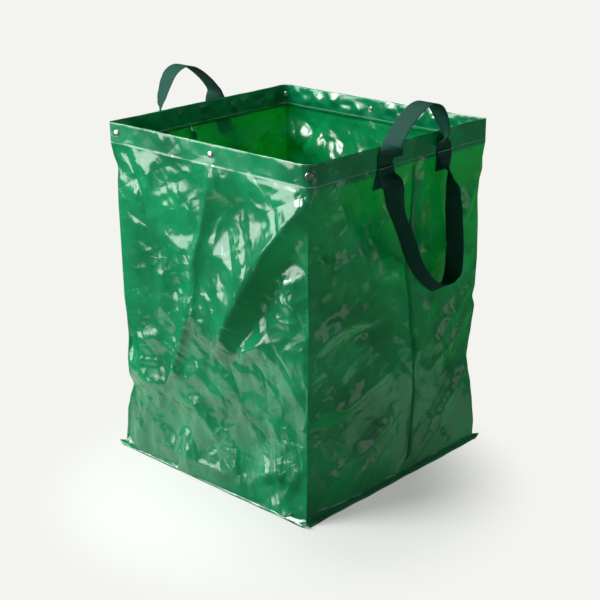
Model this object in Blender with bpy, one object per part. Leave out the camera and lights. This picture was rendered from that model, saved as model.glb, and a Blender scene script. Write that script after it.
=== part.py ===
"""Collapsible garden waste bag.

A tall square bag of glossy green film that stands open by itself. Two sheets of film make the
walls. Each is folded round two corners, and the two are sewn together along a seam down the middle
of each end wall. Along the rim the film is folded in as a hem, with a thin batten inside the hem of
each long side, riveted through. At the bottom the walls turn out as a narrow flange, which is sewn
to a square base sheet. Each end wall carries two loops of webbing, sewn on along the hem's stitch
line: a carry loop that stands above the rim, and a tipping loop that hangs below it.

The origin is at the middle of the base, on the floor. +Z is up and the handles are at -X and +X.
The film is modelled as it is cut: points on the flat sheet, with the lift of each fold, are joined
into facets and then folded into place. `across` is measured along the sheet's width and `up` along
its height. Both sheets are cut and folded alike, and the back one is turned half round.
"""

import math
import random

import bmesh
import bpy
from mathutils import Matrix, Vector
from mathutils.geometry import delaunay_2d_cdt

MM = 0.001

# Size of the bag, over the middle of the film. The foot is a little shorter and deeper
BAG_HEIGHT = 645 * MM
BAG_LENGTH = 500 * MM
BAG_DEPTH = 464 * MM
FOOT_LESS_LENGTH = 14 * MM
FOOT_MORE_DEPTH = 14 * MM

# Film, and the gap that touching pieces keep
FILM = 0.4 * MM
CLEARANCE = 0.3 * MM

# Hem, seams and flange
HEM_HEIGHT = 38 * MM
HEM_TUCK = 6 * MM
RIVETED_CORNER_RADIUS = 18 * MM
FREE_CORNER_RADIUS = 6 * MM
HEM_SHAPE_FADE = 30 * MM
FLARE_REACH = 46 * MM
BASE_FLANGE = 12 * MM
FLANGE_DROOP = math.radians(38)
BASE_ROLL = 36 * MM
SEAM_OFFSET = 34 * MM
SEAM_ALLOWANCE = 10 * MM
SEAM_END_SPACE = 10 * MM

# Crumpled film: the facets' spacing, the height of their small folds and the walls' bulge
FACET_SPACING = 37 * MM
FOLD_STEP = 30 * MM
FOLD_SPACE = 19 * MM
SMALL_FOLD_LIFT = 5 * MM
SMALL_FOLD_STRAY = 13 * MM
FOLD_DEPTH = 1.5 * MM
WALL_BULGE = 5 * MM
SMOOTH_TOP = 60 * MM
SMOOTH_FOOT = 40 * MM
EDGE_STEP = 34 * MM

# Batten in the hem
BATTEN = 1.2 * MM
BATTEN_HEIGHT = 31 * MM
BATTEN_PAST_CORNER = 20 * MM
BATTEN_SHORT_OF_CORNER = 4 * MM
BATTEN_STEP = 24 * MM

# Rivets
CAP_DIAMETER = 12 * MM
CAP_HEIGHT = 2.2 * MM
CAP_EDGE = 0.8 * MM
SHANK_DIAMETER = 5 * MM
SHANK_TAIL = 0.5 * MM
WASHER_DIAMETER = 10 * MM
WASHER = 0.8 * MM
RIVET_SIDES = 12
END_RIVET_INSET = 20 * MM
MIDDLE_RIVET_OFFSET = 18 * MM

# Webbing loops
WEBBING = 1.5 * MM
WEBBING_WIDTH = 40 * MM
HANDLE_SPACING = 161 * MM
RIGHT_CARRY_RISE = 101 * MM
LEFT_CARRY_RISE = 110 * MM
TIPPING_DROP = 245 * MM
CARRY_TAIL = 37 * MM
WEBBING_STEP = 10 * MM
SAMPLES_A_STOP = 20
WEBBING_STANDOFF = 2 * MM

# Levels and widths that follow from the sizes above
HEM_ROOM = BATTEN + 2 * CLEARANCE
HEM_TURN = (HEM_ROOM + FILM) / 2
FOOT_LENGTH = BAG_LENGTH - FOOT_LESS_LENGTH
FOOT_DEPTH = BAG_DEPTH + FOOT_MORE_DEPTH
BASE_RIDGE = BASE_FLANGE * math.sin(FLANGE_DROOP) + FILM
FLANGE_LEVEL = BASE_RIDGE + (FILM + CLEARANCE) / math.cos(FLANGE_DROOP)
STITCH_HEIGHT = BAG_HEIGHT - HEM_HEIGHT
WALL_HEIGHT = STITCH_HEIGHT - FLANGE_LEVEL
TURN_HEIGHT = BAG_HEIGHT - FILM / 2 - HEM_TURN
START_SPAN = BAG_DEPTH / 2 - SEAM_OFFSET
LONG_SPAN = BAG_LENGTH
END_SPAN = BAG_DEPTH / 2 + SEAM_OFFSET
SHEET_WIDTH = START_SPAN + LONG_SPAN + END_SPAN
FIRST_CORNER = START_SPAN
SECOND_CORNER = START_SPAN + LONG_SPAN
LAYER = (FILM + WEBBING) / 2 + CLEARANCE

# Where the end seam wanders: percent of the wall's height, sideways shift, dip into the wall
SEAM_PATH = [
    (0, -14, 0), (5, 9, 2), (10, 16, 4), (18, 22, 6), (25, 26, 7), (33, 23, 7), (42, 19, 6),
    (48, 8, 5), (56, 4, 5), (67, -9, 5), (83, -1, 4), (94, 0, 2), (100, 0, 0), (107, 0, 0),
]

# How far each corner is pinched in: percent of the wall's height, along X, along Y. The hem is the
# part above 100 percent
FRONT_LEFT_PINCH = [
    (0, 0, 0), (7, 3, 3), (11, 4, 4), (15, 8, 8), (20, 15, 13), (24, 10, 7), (29, 10, 6),
    (37, 11, 10), (44, 9, 10), (50, 7, 8), (62, 6, 8), (80, 6, 7), (87, 6, 8), (92, 8, 9),
    (96, 4, 4), (100, 2, 2), (107, 2, 2),
]
FRONT_RIGHT_PINCH = [
    (0, 0, 0), (7, 4, 6), (14, 8, 10), (26, 13, 15), (32, 9, 12), (45, 9, 12), (63, 10, 13),
    (76, 12, 12), (87, 8, 9), (95, 0, 0), (100, 0, 0), (107, 0, 0),
]
BACK_RIGHT_PINCH = [
    (0, 0, 0), (5, -2, 1), (12, -1, 6), (19, 1, 11), (25, 4, 17), (29, 6, 20), (33, 5, 17),
    (39, 3, 12), (46, 1, 7), (49, 4, 10), (53, 1, 7), (62, 0, 5), (73, 1, 5), (82, 3, 6),
    (87, 2, 4), (91, -1, 0), (96, 0, 0), (100, 0, 0), (107, 0, 0),
]
BACK_LEFT_PINCH = [
    (0, 0, 0), (9, 5, 4), (15, 8, 9), (27, 6, 8), (35, 12, 12), (44, 8, 8), (55, 9, 13),
    (66, 6, 9), (75, 11, 12), (83, 7, 8), (90, 10, 10), (96, 0, 0), (100, 0, 0), (107, 0, 0),
]

# Folds: percent across the wall from its middle, percent of the wall's height, and lift outward
# as a multiple of FOLD_DEPTH
FRONT_WALL_FOLDS = [
    # the long diagonal ridge from the right end of the hem
    [(98, 98, 0), (89, 90, 6), (76, 83, 9), (56, 74, 10), (40, 63, 9), (30, 57, 8), (20, 49, 6),
     (10, 44, 2)],
    # the valley under it, with the shaded facet between them
    [(94, 83, -3), (86, 78, -6), (67, 69, -8), (51, 59, -8), (42, 52, -7), (30, 45, -5),
     (18, 41, -2)],
    # the bright hollow above the ridge
    [(29, 94, -4), (8, 82, -4), (28, 71, 3)],
    [(29, 94, -4), (38, 82, -1), (28, 71, 3)],
    [(76, 94, -1), (62, 87, -2)],
    # the fold down from the middle rivet, and its second line
    [(2, 99, 0), (-2, 80, 6), (-14, 67, 7), (-24, 48, 7), (-40, 33, 6), (-51, 24, 5), (-76, 13, 3)],
    [(5, 80, 0), (-7, 66, 0), (-17, 48, 0), (-33, 33, -1)],
    # soft hollows under the left part of the hem
    [(-84, 99, 0), (-62, 94, 4), (-50, 99, 0)],
    [(-46, 99, 0), (-28, 94, -3), (-60, 83, -5)],
    # short folds in the middle of the wall
    [(-40, 71, 0), (-30, 73, 4), (-20, 71, 2)],
    [(-70, 61, -2), (-48, 62, 4), (-40, 61, 0)],
    [(-37, 58, -4), (-13, 57, 0), (5, 60, -3)],
    [(16, 43, -2), (47, 48, 5)],
    [(58, 51, 4), (87, 56, 1)],
    [(78, 71, 3), (96, 74, 0)],
    [(80, 59, 3), (96, 60, 0)],
    # the belly that hangs over the flange
    [(-72, 4, 3), (-46, 4, 7), (-12, 4, 8), (18, 4, 7), (42, 3, 3)],
    # facets above the base
    [(-96, 3, 0), (-50, 23, 4), (-14, 34, 5), (5, 27, 2), (12, 17, -2), (16, 9, 1)],
    [(-56, 22, 2), (6, 22, 3)],
    [(34, 26, 3), (56, 27, 0)],
    [(42, 7, 0), (69, 9, 4), (85, 14, 0)],
    [(69, 2, 0), (89, 8, -4), (98, 6, 0)],
    # the dent in the right edge
    [(97, 27, -5), (69, 24, 4)],
    [(87, 38, 4), (71, 31, -4)],
    # dents in the left edge
    [(-97, 44, -3), (-84, 42, 3)],
    [(-97, 33, -4), (-82, 29, 4), (-71, 26, 1)],
]
RIGHT_END_NEAR_FOLDS = [
    # the lower dent in the near edge, with folds running from it
    [(-96, 27, -5), (-72, 19, 1), (-47, 11, 3)],
    [(-96, 27, -5), (-60, 27, 2), (-13, 26, 4)],
    [(-88, 33, 4), (-73, 50, -4), (-30, 54, -4)],
    # the upper dent
    [(-96, 76, -5), (-70, 70, 2), (-43, 67, 4)],
    [(-96, 76, -5), (-60, 77, 1), (-30, 74, 3)],
    [(-80, 90, 1), (-55, 85, -3), (-20, 88, -2)],
    # facets above the base
    [(-73, 2, 0), (-26, 18, 4), (-4, 22, 3)],
    [(-30, 3, 0), (-12, 10, -3)],
    [(-20, 40, 3), (0, 46, -2)],
]
RIGHT_END_FAR_FOLDS = [
    [(97, 87, 0), (80, 77, 4), (60, 72, -2)],
    [(97, 64, 0), (86, 64, 4), (55, 60, -3)],
    # the long bright fold from the far edge down to the seam
    [(97, 53, 0), (86, 45, 5), (65, 38, 6), (43, 33, 5), (30, 27, 1)],
    [(90, 37, -5), (68, 30, -3), (50, 26, -2)],
    [(93, 28, 0), (73, 22, 3), (50, 15, 0)],
    [(82, 12, -3), (95, 3, 0)],
    [(40, 90, -2), (66, 93, -3)],
]
BACK_WALL_FOLDS = [
    # the scooped hollow under the hem
    [(86, 98, 0), (80, 95, 3), (68, 92, 5), (56, 89, 6), (44, 90, 5), (36, 93, 3), (16, 98, 0)],
    [(70, 82, -4), (40, 74, 5), (10, 80, -3), (-15, 88, 4)],
    [(0, 96, -2), (-20, 93, 3), (-45, 96, -1)],
    [(-96, 88, 0), (-60, 77, 6), (-30, 62, 5), (-12, 47, 3)],
    [(-80, 72, -5), (-52, 60, -6), (-34, 46, -4)],
    [(60, 64, 4), (24, 52, 5), (2, 38, 4), (-22, 20, 1)],
    [(80, 40, -4), (52, 34, 4), (38, 20, -2)],
    [(-60, 30, 4), (-78, 18, -3), (-96, 6, 0)],
    [(10, 4, 0), (34, 14, 4), (66, 8, 0)],
]
LEFT_END_NEAR_FOLDS = [
    [(96, 80, -4), (72, 72, 3), (40, 66, 4)],
    [(90, 44, 4), (60, 52, -4), (34, 44, 3)],
    [(94, 22, 0), (68, 26, 5), (36, 20, 2)],
    [(80, 8, -3), (50, 12, 3)],
]
LEFT_END_FAR_FOLDS = [
    [(-96, 64, -4), (-66, 72, 4), (-30, 66, 5), (-6, 56, 2)],
    [(-94, 36, 4), (-60, 44, -4), (-20, 36, -3), (4, 24, 2)],
    [(-88, 14, -3), (-48, 24, 4), (-20, 12, 2)],
    [(-70, 88, 3), (-36, 90, -3)],
]

# Each sheet's corners, how many millimetres the hem leans out at each along X and Y, folds by wall,
# and seed for the small folds
FRONT_SHEET = {
    "first_pinch": FRONT_LEFT_PINCH,
    "second_pinch": FRONT_RIGHT_PINCH,
    "first_flare": 3,
    "second_flare": 0,
    "start_folds": LEFT_END_NEAR_FOLDS,
    "long_folds": FRONT_WALL_FOLDS,
    "end_folds": RIGHT_END_NEAR_FOLDS,
    "seed": 11,
}
BACK_SHEET = {
    "first_pinch": BACK_RIGHT_PINCH,
    "second_pinch": BACK_LEFT_PINCH,
    "first_flare": 5,
    "second_flare": 3,
    "start_folds": RIGHT_END_FAR_FOLDS,
    "long_folds": BACK_WALL_FOLDS,
    "end_folds": LEFT_END_FAR_FOLDS,
    "seed": 23,
}

# A loop's way from its near foot to its far one. Each stop gives: place along the loop (-1 and 1
# are its feet), height above the stitch line as a share of its reach, turn of its width away from
# the wall and tip of its outer edge, in degrees
CARRY_STOPS = [
    (-1.07, -0.16, 0, 0), (-1.0, 0.01, 0, 0), (-1.0, 0.11, 0, 0), (-1.0, 0.16, 10, 0),
    (-1.05, 0.27, 50, 0), (-1.10, 0.43, 86, 0), (-0.95, 0.58, 90, 0), (-0.76, 0.72, 90, 0),
    (-0.50, 0.87, 90, 0), (-0.25, 0.97, 90, 0), (0.02, 1.0, 90, 0), (0.27, 0.93, 92, 0),
    (0.44, 0.79, 97, 0), (0.60, 0.57, 106, 0), (0.71, 0.41, 118, 0), (0.78, 0.29, 138, 0),
    (0.91, 0.18, 170, 0), (1.0, 0.11, 180, 0), (1.0, 0.01, 180, 0), (0.98, -0.16, 180, 0),
]
TIPPING_STOPS = [
    (-1.0, 0.01, 0, 0), (-1.0, -0.04, 3, 0), (-1.03, -0.10, 45, 0), (-1.05, -0.17, 84, 0),
    (-0.96, -0.30, 90, 0), (-0.74, -0.43, 90, 0), (-0.53, -0.57, 90, 0), (-0.37, -0.69, 90, 2),
    (-0.07, -0.83, 90, 6), (0.25, -0.93, 90, 15), (0.63, -1.0, 90, 30), (0.93, -0.98, 90, 24),
    (1.08, -0.89, 90, 8), (1.10, -0.69, 90, 0), (1.04, -0.45, 93, 0), (1.0, -0.27, 104, 0),
    (0.96, -0.155, 132, 0), (0.98, -0.08, 168, 0), (1.0, -0.035, 180, 0), (1.0, 0.01, 180, 0),
]


def clear_scene():
    """Remove whatever the file holds."""
    for item in list(bpy.data.objects):
        bpy.data.objects.remove(item, do_unlink=True)


def make_material(name, colour, roughness, metallic=0.0):
    """A plain Principled material."""
    material = bpy.data.materials.new(name)
    material.use_nodes = True
    shader = material.node_tree.nodes["Principled BSDF"]
    shader.inputs["Base Color"].default_value = (*colour, 1.0)
    shader.inputs["Roughness"].default_value = roughness
    shader.inputs["Metallic"].default_value = metallic
    return material


def place_mesh(name, mesh, material, half_turn=False):
    """Put a mesh into the scene as a named piece, as it is or turned half round."""
    piece = bpy.data.objects.new(name, mesh)
    bpy.context.scene.collection.objects.link(piece)
    if not mesh.materials:
        mesh.materials.append(material)
    if half_turn:
        piece.rotation_euler.z = math.pi
    return piece


def mesh_from(name, shape):
    """Turn a finished bmesh into a mesh."""
    mesh = bpy.data.meshes.new(name)
    shape.to_mesh(mesh)
    shape.free()
    return mesh


def add_thickness(piece, thickness):
    """Give a sheet its thickness, half on each side."""
    solidify = piece.modifiers.new("thickness", "SOLIDIFY")
    solidify.thickness = thickness
    solidify.offset = 0.0
    solidify.use_even_offset = True


def between(low, high, share):
    """The value that lies `share` of the way from low to high."""
    return low + (high - low) * share


def read_profile(profile, percent):
    """Values of a profile at one height, straight between its entries."""
    low = profile[0]
    for high in profile[1:]:
        if percent <= high[0]:
            share = (percent - low[0]) / (high[0] - low[0])
            return [between(a, b, share) for a, b in zip(low[1:], high[1:])]
        low = high
    return list(low[1:])


def height_percent(height):
    """Height above the flange in percent of the wall's height up to the stitch line."""
    return 100 * (height - FLANGE_LEVEL) / WALL_HEIGHT


def sheet_plan(sheet, height):
    """The sheet's start, two corners and end in plan, at one height."""
    percent = height_percent(height)
    share = min(percent / 100, 1.0)
    half_length = between(FOOT_LENGTH, BAG_LENGTH, share) / 2
    half_depth = between(FOOT_DEPTH, BAG_DEPTH, share) / 2
    shift, dip = read_profile(SEAM_PATH, percent)
    seam_x = half_length - dip * MM
    seam_y = SEAM_OFFSET + shift * MM
    half_gap = (FILM + CLEARANCE) / 2
    first_x, first_y = read_profile(sheet["first_pinch"], percent)
    second_x, second_y = read_profile(sheet["second_pinch"], percent)
    return [
        Vector((-seam_x, -seam_y - half_gap)),
        Vector((-half_length + first_x * MM, -half_depth + first_y * MM)),
        Vector((half_length - second_x * MM, -half_depth + second_y * MM)),
        Vector((seam_x, seam_y - half_gap)),
    ]


def hem_share(height):
    """How far the hem's corner shape goes: not on the wall, and fully from the raw edge up."""
    raw_edge = STITCH_HEIGHT - HEM_TUCK
    return min(max(1 + (height - raw_edge) / HEM_SHAPE_FADE, 0.0), 1.0)


def corner_lean(sheet, across, height):
    """How far the hem leans out near its corners."""
    lean = Vector((0.0, 0.0))
    for corner, radius, side, flare in (
            (FIRST_CORNER, FREE_CORNER_RADIUS, -1, "first_flare"),
            (SECOND_CORNER, RIVETED_CORNER_RADIUS, 1, "second_flare")):
        nearness = (FLARE_REACH - abs(across - corner)) / (FLARE_REACH - radius)
        amount = sheet[flare] * MM * hem_share(height) * min(max(nearness, 0.0), 1.0)
        lean += Vector((side, -1)) * amount
    return lean


def right_of(direction):
    """The outward side of a wall that runs in this direction."""
    return Vector((direction.y, -direction.x))


def round_corner(corner, own_way, other_way, distance, radius):
    """Point and outward direction at a distance from a corner, on the side of own_way."""
    if radius < FILM:
        outward = -(own_way + other_way)
        return corner + own_way * distance, outward if distance < FILM else -other_way
    angle = math.pi / 4 * (1 - distance / radius)
    outward = -(other_way * math.cos(angle) + own_way * math.sin(angle))
    return corner + (own_way + other_way) * radius + outward * radius, outward


def point_in_plan(sheet, across, height):
    """Point and outward direction of the film in plan."""
    plan = sheet_plan(sheet, height)
    starts = [0.0, FIRST_CORNER, SECOND_CORNER, SHEET_WIDTH]
    across = min(max(across, 0.0), SHEET_WIDTH)
    wall = 0 if across <= FIRST_CORNER else 1 if across <= SECOND_CORNER else 2
    share = (across - starts[wall]) / (starts[wall + 1] - starts[wall])
    ways = [(b - a).normalized() for a, b in zip(plan, plan[1:])]
    before = share * (plan[wall + 1] - plan[wall]).length
    after = (plan[wall + 1] - plan[wall]).length - before
    rounding = hem_share(height)
    radii = [0.0, FREE_CORNER_RADIUS * rounding, RIVETED_CORNER_RADIUS * rounding]
    if wall > 0 and before < max(radii[wall], FILM):
        return round_corner(plan[wall], ways[wall], -ways[wall - 1], before, radii[wall])
    if wall < 2 and after < max(radii[wall + 1], FILM):
        return round_corner(plan[wall + 1], -ways[wall], ways[wall + 1], after, radii[wall + 1])
    return plan[wall] + ways[wall] * before, right_of(ways[wall])


def profile_point(up):
    """Height and inward offset of the film's section: flange, wall, rim turn and hem."""
    turn_length = math.pi * HEM_TURN
    wall_length = TURN_HEIGHT - FLANGE_LEVEL
    if up <= 0:
        return FLANGE_LEVEL + up * math.sin(FLANGE_DROOP), up * math.cos(FLANGE_DROOP)
    if up <= wall_length:
        return FLANGE_LEVEL + up, 0.0
    if up <= wall_length + turn_length:
        angle = (up - wall_length) / HEM_TURN
        return TURN_HEIGHT + HEM_TURN * math.sin(angle), HEM_TURN * (1 - math.cos(angle))
    return TURN_HEIGHT - (up - wall_length - turn_length), 2 * HEM_TURN


def fold_into_place(sheet, across, up, lift):
    """Where a point of the flat sheet lies on the bag."""
    height, inward = profile_point(up)
    point, outward = point_in_plan(sheet, across, max(height, FLANGE_LEVEL))
    point = point + outward * (lift - inward) + corner_lean(sheet, across, height)
    past_start = max(-across, 0.0)
    past_end = max(across - SHEET_WIDTH, 0.0)
    return Vector((point.x + past_start - past_end, point.y, height))


def on_start_wall(percent):
    """Place across the sheet for a percent of the half depth, on the wall where it starts."""
    return abs(percent) / 100 * BAG_DEPTH / 2 - SEAM_OFFSET


def on_long_wall(percent):
    """Place across the sheet for a percent of the half length, on its long wall."""
    return FIRST_CORNER + LONG_SPAN / 2 * (1 + percent / 100)


def on_end_wall(percent):
    """Place across the sheet for a percent of the half depth, on the wall where it ends."""
    return SECOND_CORNER + BAG_DEPTH / 2 * (1 + percent / 100)


def sheet_folds(sheet):
    """All folds of a sheet as lines of (across, up, lift), in metres."""
    walls = [
        (sheet["start_folds"], on_start_wall),
        (sheet["long_folds"], on_long_wall),
        (sheet["end_folds"], on_end_wall),
    ]
    lines = []
    for folds, place in walls:
        for fold in folds:
            lines.append([(place(across), up / 100 * WALL_HEIGHT, lift * FOLD_DEPTH)
                          for across, up, lift in fold])
    return lines


def points_along(line, step):
    """A fold's own points, with more between them no further apart than a step."""
    points = [line[0]]
    for low, high in zip(line, line[1:]):
        count = max(1, math.ceil(math.dist(low[:2], high[:2]) / step))
        for index in range(1, count + 1):
            points.append(tuple(between(a, b, index / count) for a, b in zip(low, high)))
    return points


def bulge(across, up):
    """How far a wall bellies out, most in its middle."""
    corners = [0.0, FIRST_CORNER, SECOND_CORNER, SHEET_WIDTH]
    for low, high in zip(corners, corners[1:]):
        if low <= across <= high:
            sideways = math.sin(math.pi * (across - low) / (high - low))
            upward = math.sin(math.pi * min(max(up / WALL_HEIGHT, 0.0), 1.0))
            return WALL_BULGE * sideways * upward
    return 0.0


def tab_guard(across, up, lift):
    """Keep the film flat behind the sewn-down feet of the webbing."""
    guard = CARRY_TAIL + WEBBING_WIDTH / 2
    for foot in (HANDLE_SPACING / 2, SHEET_WIDTH - HANDLE_SPACING / 2):
        if abs(across - foot) < WEBBING_WIDTH and up > WALL_HEIGHT - guard:
            return min(lift, 0.0)
    return lift


def spread(low, high, step):
    """Evenly spread values from low to high, no further apart than a step."""
    count = max(1, math.ceil((high - low) / step))
    return [between(low, high, index / count) for index in range(count + 1)]


def column_places():
    """Places across the sheet where the hem's and the flange's edges have points."""
    places = [0.0]
    for corner, radius in ((FIRST_CORNER, FREE_CORNER_RADIUS),
                           (SECOND_CORNER, RIVETED_CORNER_RADIUS)):
        for stop in (corner - FLARE_REACH, corner - radius):
            places += spread(places[-1], stop, EDGE_STEP)[1:]
        places += [corner + radius * share / 3 for share in (-2, -1, 0, 1, 2, 3)]
        places.append(corner + FLARE_REACH)
    return places + spread(places[-1], SHEET_WIDTH, EDGE_STEP)[1:]


def hem_levels():
    """Heights along the sheet of the hem's rows, from the stitch line to the raw edge."""
    wall_length = TURN_HEIGHT - FLANGE_LEVEL
    turn_length = math.pi * HEM_TURN
    levels = [WALL_HEIGHT]
    levels += [wall_length + turn_length * index / 4 for index in range(5)]
    levels.append(levels[-1] + TURN_HEIGHT - STITCH_HEIGHT)
    levels.append(levels[-1] + HEM_TUCK)
    return levels


def bends_between(profile, low, high):
    """Heights of a profile's bends from low to high, with both ends."""
    bends = [entry[0] / 100 * WALL_HEIGHT for entry in profile]
    return [low] + [bend for bend in bends if low < bend < high] + [high]


class FlatSheet:
    """Points and fixed lines on the flat film, ready to be joined into facets."""

    def __init__(self):
        self.places = []
        self.lifts = []
        self.lines = []
        self.known = {}

    def point(self, across, up, lift=0.0):
        """Index of a point, new or known."""
        key = (round(across / MM, 3), round(up / MM, 3))
        if key not in self.known:
            self.known[key] = len(self.places)
            self.places.append(Vector((across / MM, up / MM)))
            self.lifts.append(lift)
        return self.known[key]

    def line(self, points):
        """Keep the facets' edges along a line of points."""
        for low, high in zip(points, points[1:]):
            if low != high:
                self.lines.append((low, high))


def add_rows(flat):
    """The flange, and the hem's rows with the rim's turn."""
    columns = column_places()
    for up in [-BASE_FLANGE, 0.0] + hem_levels():
        flat.line([flat.point(across, up) for across in columns])


def add_ends(flat):
    """The cut ends of the sheet, with the seam allowances below the hem."""
    levels = bends_between(SEAM_PATH, SEAM_END_SPACE, WALL_HEIGHT - SEAM_END_SPACE)
    hem = hem_levels()
    for edge, allowance in ((0.0, -SEAM_ALLOWANCE), (SHEET_WIDTH, SHEET_WIDTH + SEAM_ALLOWANCE)):
        fold = [flat.point(edge, up) for up in levels]
        cut = [flat.point(allowance, up) for up in levels]
        flat.line([flat.point(edge, -BASE_FLANGE), flat.point(edge, 0.0)] + fold)
        flat.line([fold[0]] + cut + [fold[-1]])
        flat.line([fold[-1]] + [flat.point(edge, up) for up in hem])


def add_corner_creases(flat, sheet):
    """The pressed creases down the two corners, each from the hem to the flange."""
    for corner, pinch in ((FIRST_CORNER, "first_pinch"), (SECOND_CORNER, "second_pinch")):
        bends = bends_between(sheet[pinch], 0.0, WALL_HEIGHT)
        levels = [0.0]
        for low, high in zip(bends, bends[1:]):
            levels += spread(low, high, EDGE_STEP)[1:]
        flat.line([flat.point(corner, up) for up in levels])


def add_folds(flat, sheet):
    """The folds that are placed by hand."""
    for fold in sheet_folds(sheet):
        for across, up, lift in points_along(fold, FOLD_STEP):
            lift = tab_guard(across, up, lift + bulge(across, up))
            flat.point(across, up, lift)


def add_small_folds(flat, sheet):
    """Small random folds where there is room between the others."""
    dice = random.Random(sheet["seed"])
    rows = spread(FACET_SPACING / 2, WALL_HEIGHT - FACET_SPACING / 2, FACET_SPACING)
    columns = spread(FACET_SPACING / 2, SHEET_WIDTH - FACET_SPACING / 2, FACET_SPACING)
    for up in rows:
        for across in columns:
            shift = [dice.uniform(-1.0, 1.0) * SMALL_FOLD_STRAY for _ in range(2)]
            height = dice.uniform(-1.0, 1.0) * SMALL_FOLD_LIFT
            place = Vector(((across + shift[0]) / MM, (up + shift[1]) / MM))
            if min((place - other).length for other in flat.places) < FOLD_SPACE / MM:
                continue
            fade = min((WALL_HEIGHT - up) / SMOOTH_TOP, up / SMOOTH_FOOT, 1.0)
            here = (place.x * MM, place.y * MM)
            flat.point(*here, tab_guard(*here, height * fade + bulge(*here)))


def make_wall_sheet(name, sheet, material, half_turn):
    """One sheet of film, cut flat, creased into facets and folded into place."""
    flat = FlatSheet()
    add_rows(flat)
    add_ends(flat)
    add_corner_creases(flat, sheet)
    add_folds(flat, sheet)
    add_small_folds(flat, sheet)
    places, _, facets, sources, _, _ = delaunay_2d_cdt(flat.places, flat.lines, [], 1, 0.001)
    shape = bmesh.new()
    corners = []
    for place, source in zip(places, sources):
        lift = flat.lifts[source[0]] if source else 0.0
        corners.append(shape.verts.new(fold_into_place(sheet, place.x * MM, place.y * MM, lift)))
    for facet in facets:
        shape.faces.new([corners[index] for index in facet])
    bmesh.ops.recalc_face_normals(shape, faces=shape.faces)
    piece = place_mesh(name, mesh_from(name, shape), material, half_turn)
    add_thickness(piece, FILM)
    return piece


def hem_frame(sheet, across):
    """A place on the hem's outer layer, half way up, with Z square to the film."""
    up = BAG_HEIGHT - HEM_HEIGHT / 2 - FLANGE_LEVEL
    step = HEM_HEIGHT / 4
    upward = fold_into_place(sheet, across, up + step, 0.0)
    upward -= fold_into_place(sheet, across, up - step, 0.0)
    along = fold_into_place(sheet, across + step, up, 0.0)
    along -= fold_into_place(sheet, across - step, up, 0.0)
    turn = along.cross(upward).to_track_quat("Z", "Y")
    place = fold_into_place(sheet, across, up, 0.0)
    return Matrix.Translation(place) @ turn.to_matrix().to_4x4()


def rivet_frames(sheet):
    """Place and turn of each rivet in a sheet's hem."""
    return {
        "left": hem_frame(sheet, FIRST_CORNER + END_RIVET_INSET),
        "middle": hem_frame(sheet, FIRST_CORNER + LONG_SPAN / 2 + MIDDLE_RIVET_OFFSET),
        "corner": hem_frame(sheet, SECOND_CORNER),
    }


def spun(name, profile):
    """A round piece from a closed outline of (radius, height) about its Z axis."""
    shape = bmesh.new()
    rim = [shape.verts.new((radius, 0, height)) for radius, height in profile]
    edges = [shape.edges.new(pair) for pair in zip(rim, rim[1:] + rim[:1])]
    bmesh.ops.spin(
        shape, geom=rim + edges, cent=(0, 0, 0), axis=(0, 0, 1), angle=math.tau,
        steps=RIVET_SIDES, use_merge=True,
    )
    bmesh.ops.remove_doubles(shape, verts=shape.verts, dist=CLEARANCE / 100)
    loose = [edge for edge in shape.edges if not edge.link_faces]
    bmesh.ops.delete(shape, geom=loose, context="EDGES")
    bmesh.ops.recalc_face_normals(shape, faces=shape.faces)
    mesh = mesh_from(name, shape)
    mesh.shade_smooth()
    mesh.set_sharp_from_angle(angle=math.radians(40))
    return mesh


def rivet_mesh():
    """A low domed cap with its shank. Height zero is the middle of the film's outer layer."""
    seat = FILM / 2 + CLEARANCE
    tail = -(HEM_ROOM + 1.5 * FILM + CLEARANCE + corner_sagitta() + WASHER + SHANK_TAIL)
    radius = CAP_DIAMETER / 2
    shank = SHANK_DIAMETER / 2
    dome = [(radius * math.cos(a), seat + CAP_EDGE + (CAP_HEIGHT - CAP_EDGE) * math.sin(a))
            for a in (math.radians(turn) for turn in (0, 30, 60))]
    outline = [(0, tail), (shank, tail), (shank, seat), (radius, seat)] + dome
    outline.append((0, seat + CAP_HEIGHT))
    return spun("rivet", outline)


def corner_sagitta():
    """How far a washer stands off where the hem's inner face is curved."""
    inner = RIVETED_CORNER_RADIUS - HEM_ROOM - 1.5 * FILM
    return inner - math.sqrt(inner ** 2 - (WASHER_DIAMETER / 2) ** 2)


def washer_mesh(name, stand_off):
    """A flat ring against the hem's inner face."""
    top = -(HEM_ROOM + 1.5 * FILM + CLEARANCE + stand_off)
    hole = SHANK_DIAMETER / 2 + CLEARANCE
    rim = WASHER_DIAMETER / 2
    return spun(name, [(hole, top), (hole, top - WASHER), (rim, top - WASHER), (rim, top)])


def make_cutter(name, frame, half_turn):
    """A round cutter for one rivet hole."""
    shape = bmesh.new()
    bmesh.ops.create_cone(
        shape, cap_ends=True, segments=RIVET_SIDES, radius1=SHANK_DIAMETER / 2 + CLEARANCE,
        radius2=SHANK_DIAMETER / 2 + CLEARANCE, depth=4 * HEM_ROOM + 4 * WASHER, matrix=frame,
    )
    cutter = bpy.data.objects.new(name, mesh_from(name, shape))
    bpy.context.scene.collection.objects.link(cutter)
    cutter.hide_render = True
    cutter.display_type = "WIRE"
    if half_turn:
        cutter.rotation_euler.z = math.pi
    return cutter


def pierce(piece, cutter):
    """Cut a rivet hole."""
    hole = piece.modifiers.new("rivet hole", "BOOLEAN")
    hole.operation = "DIFFERENCE"
    hole.solver = "EXACT"
    hole.object = cutter


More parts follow.
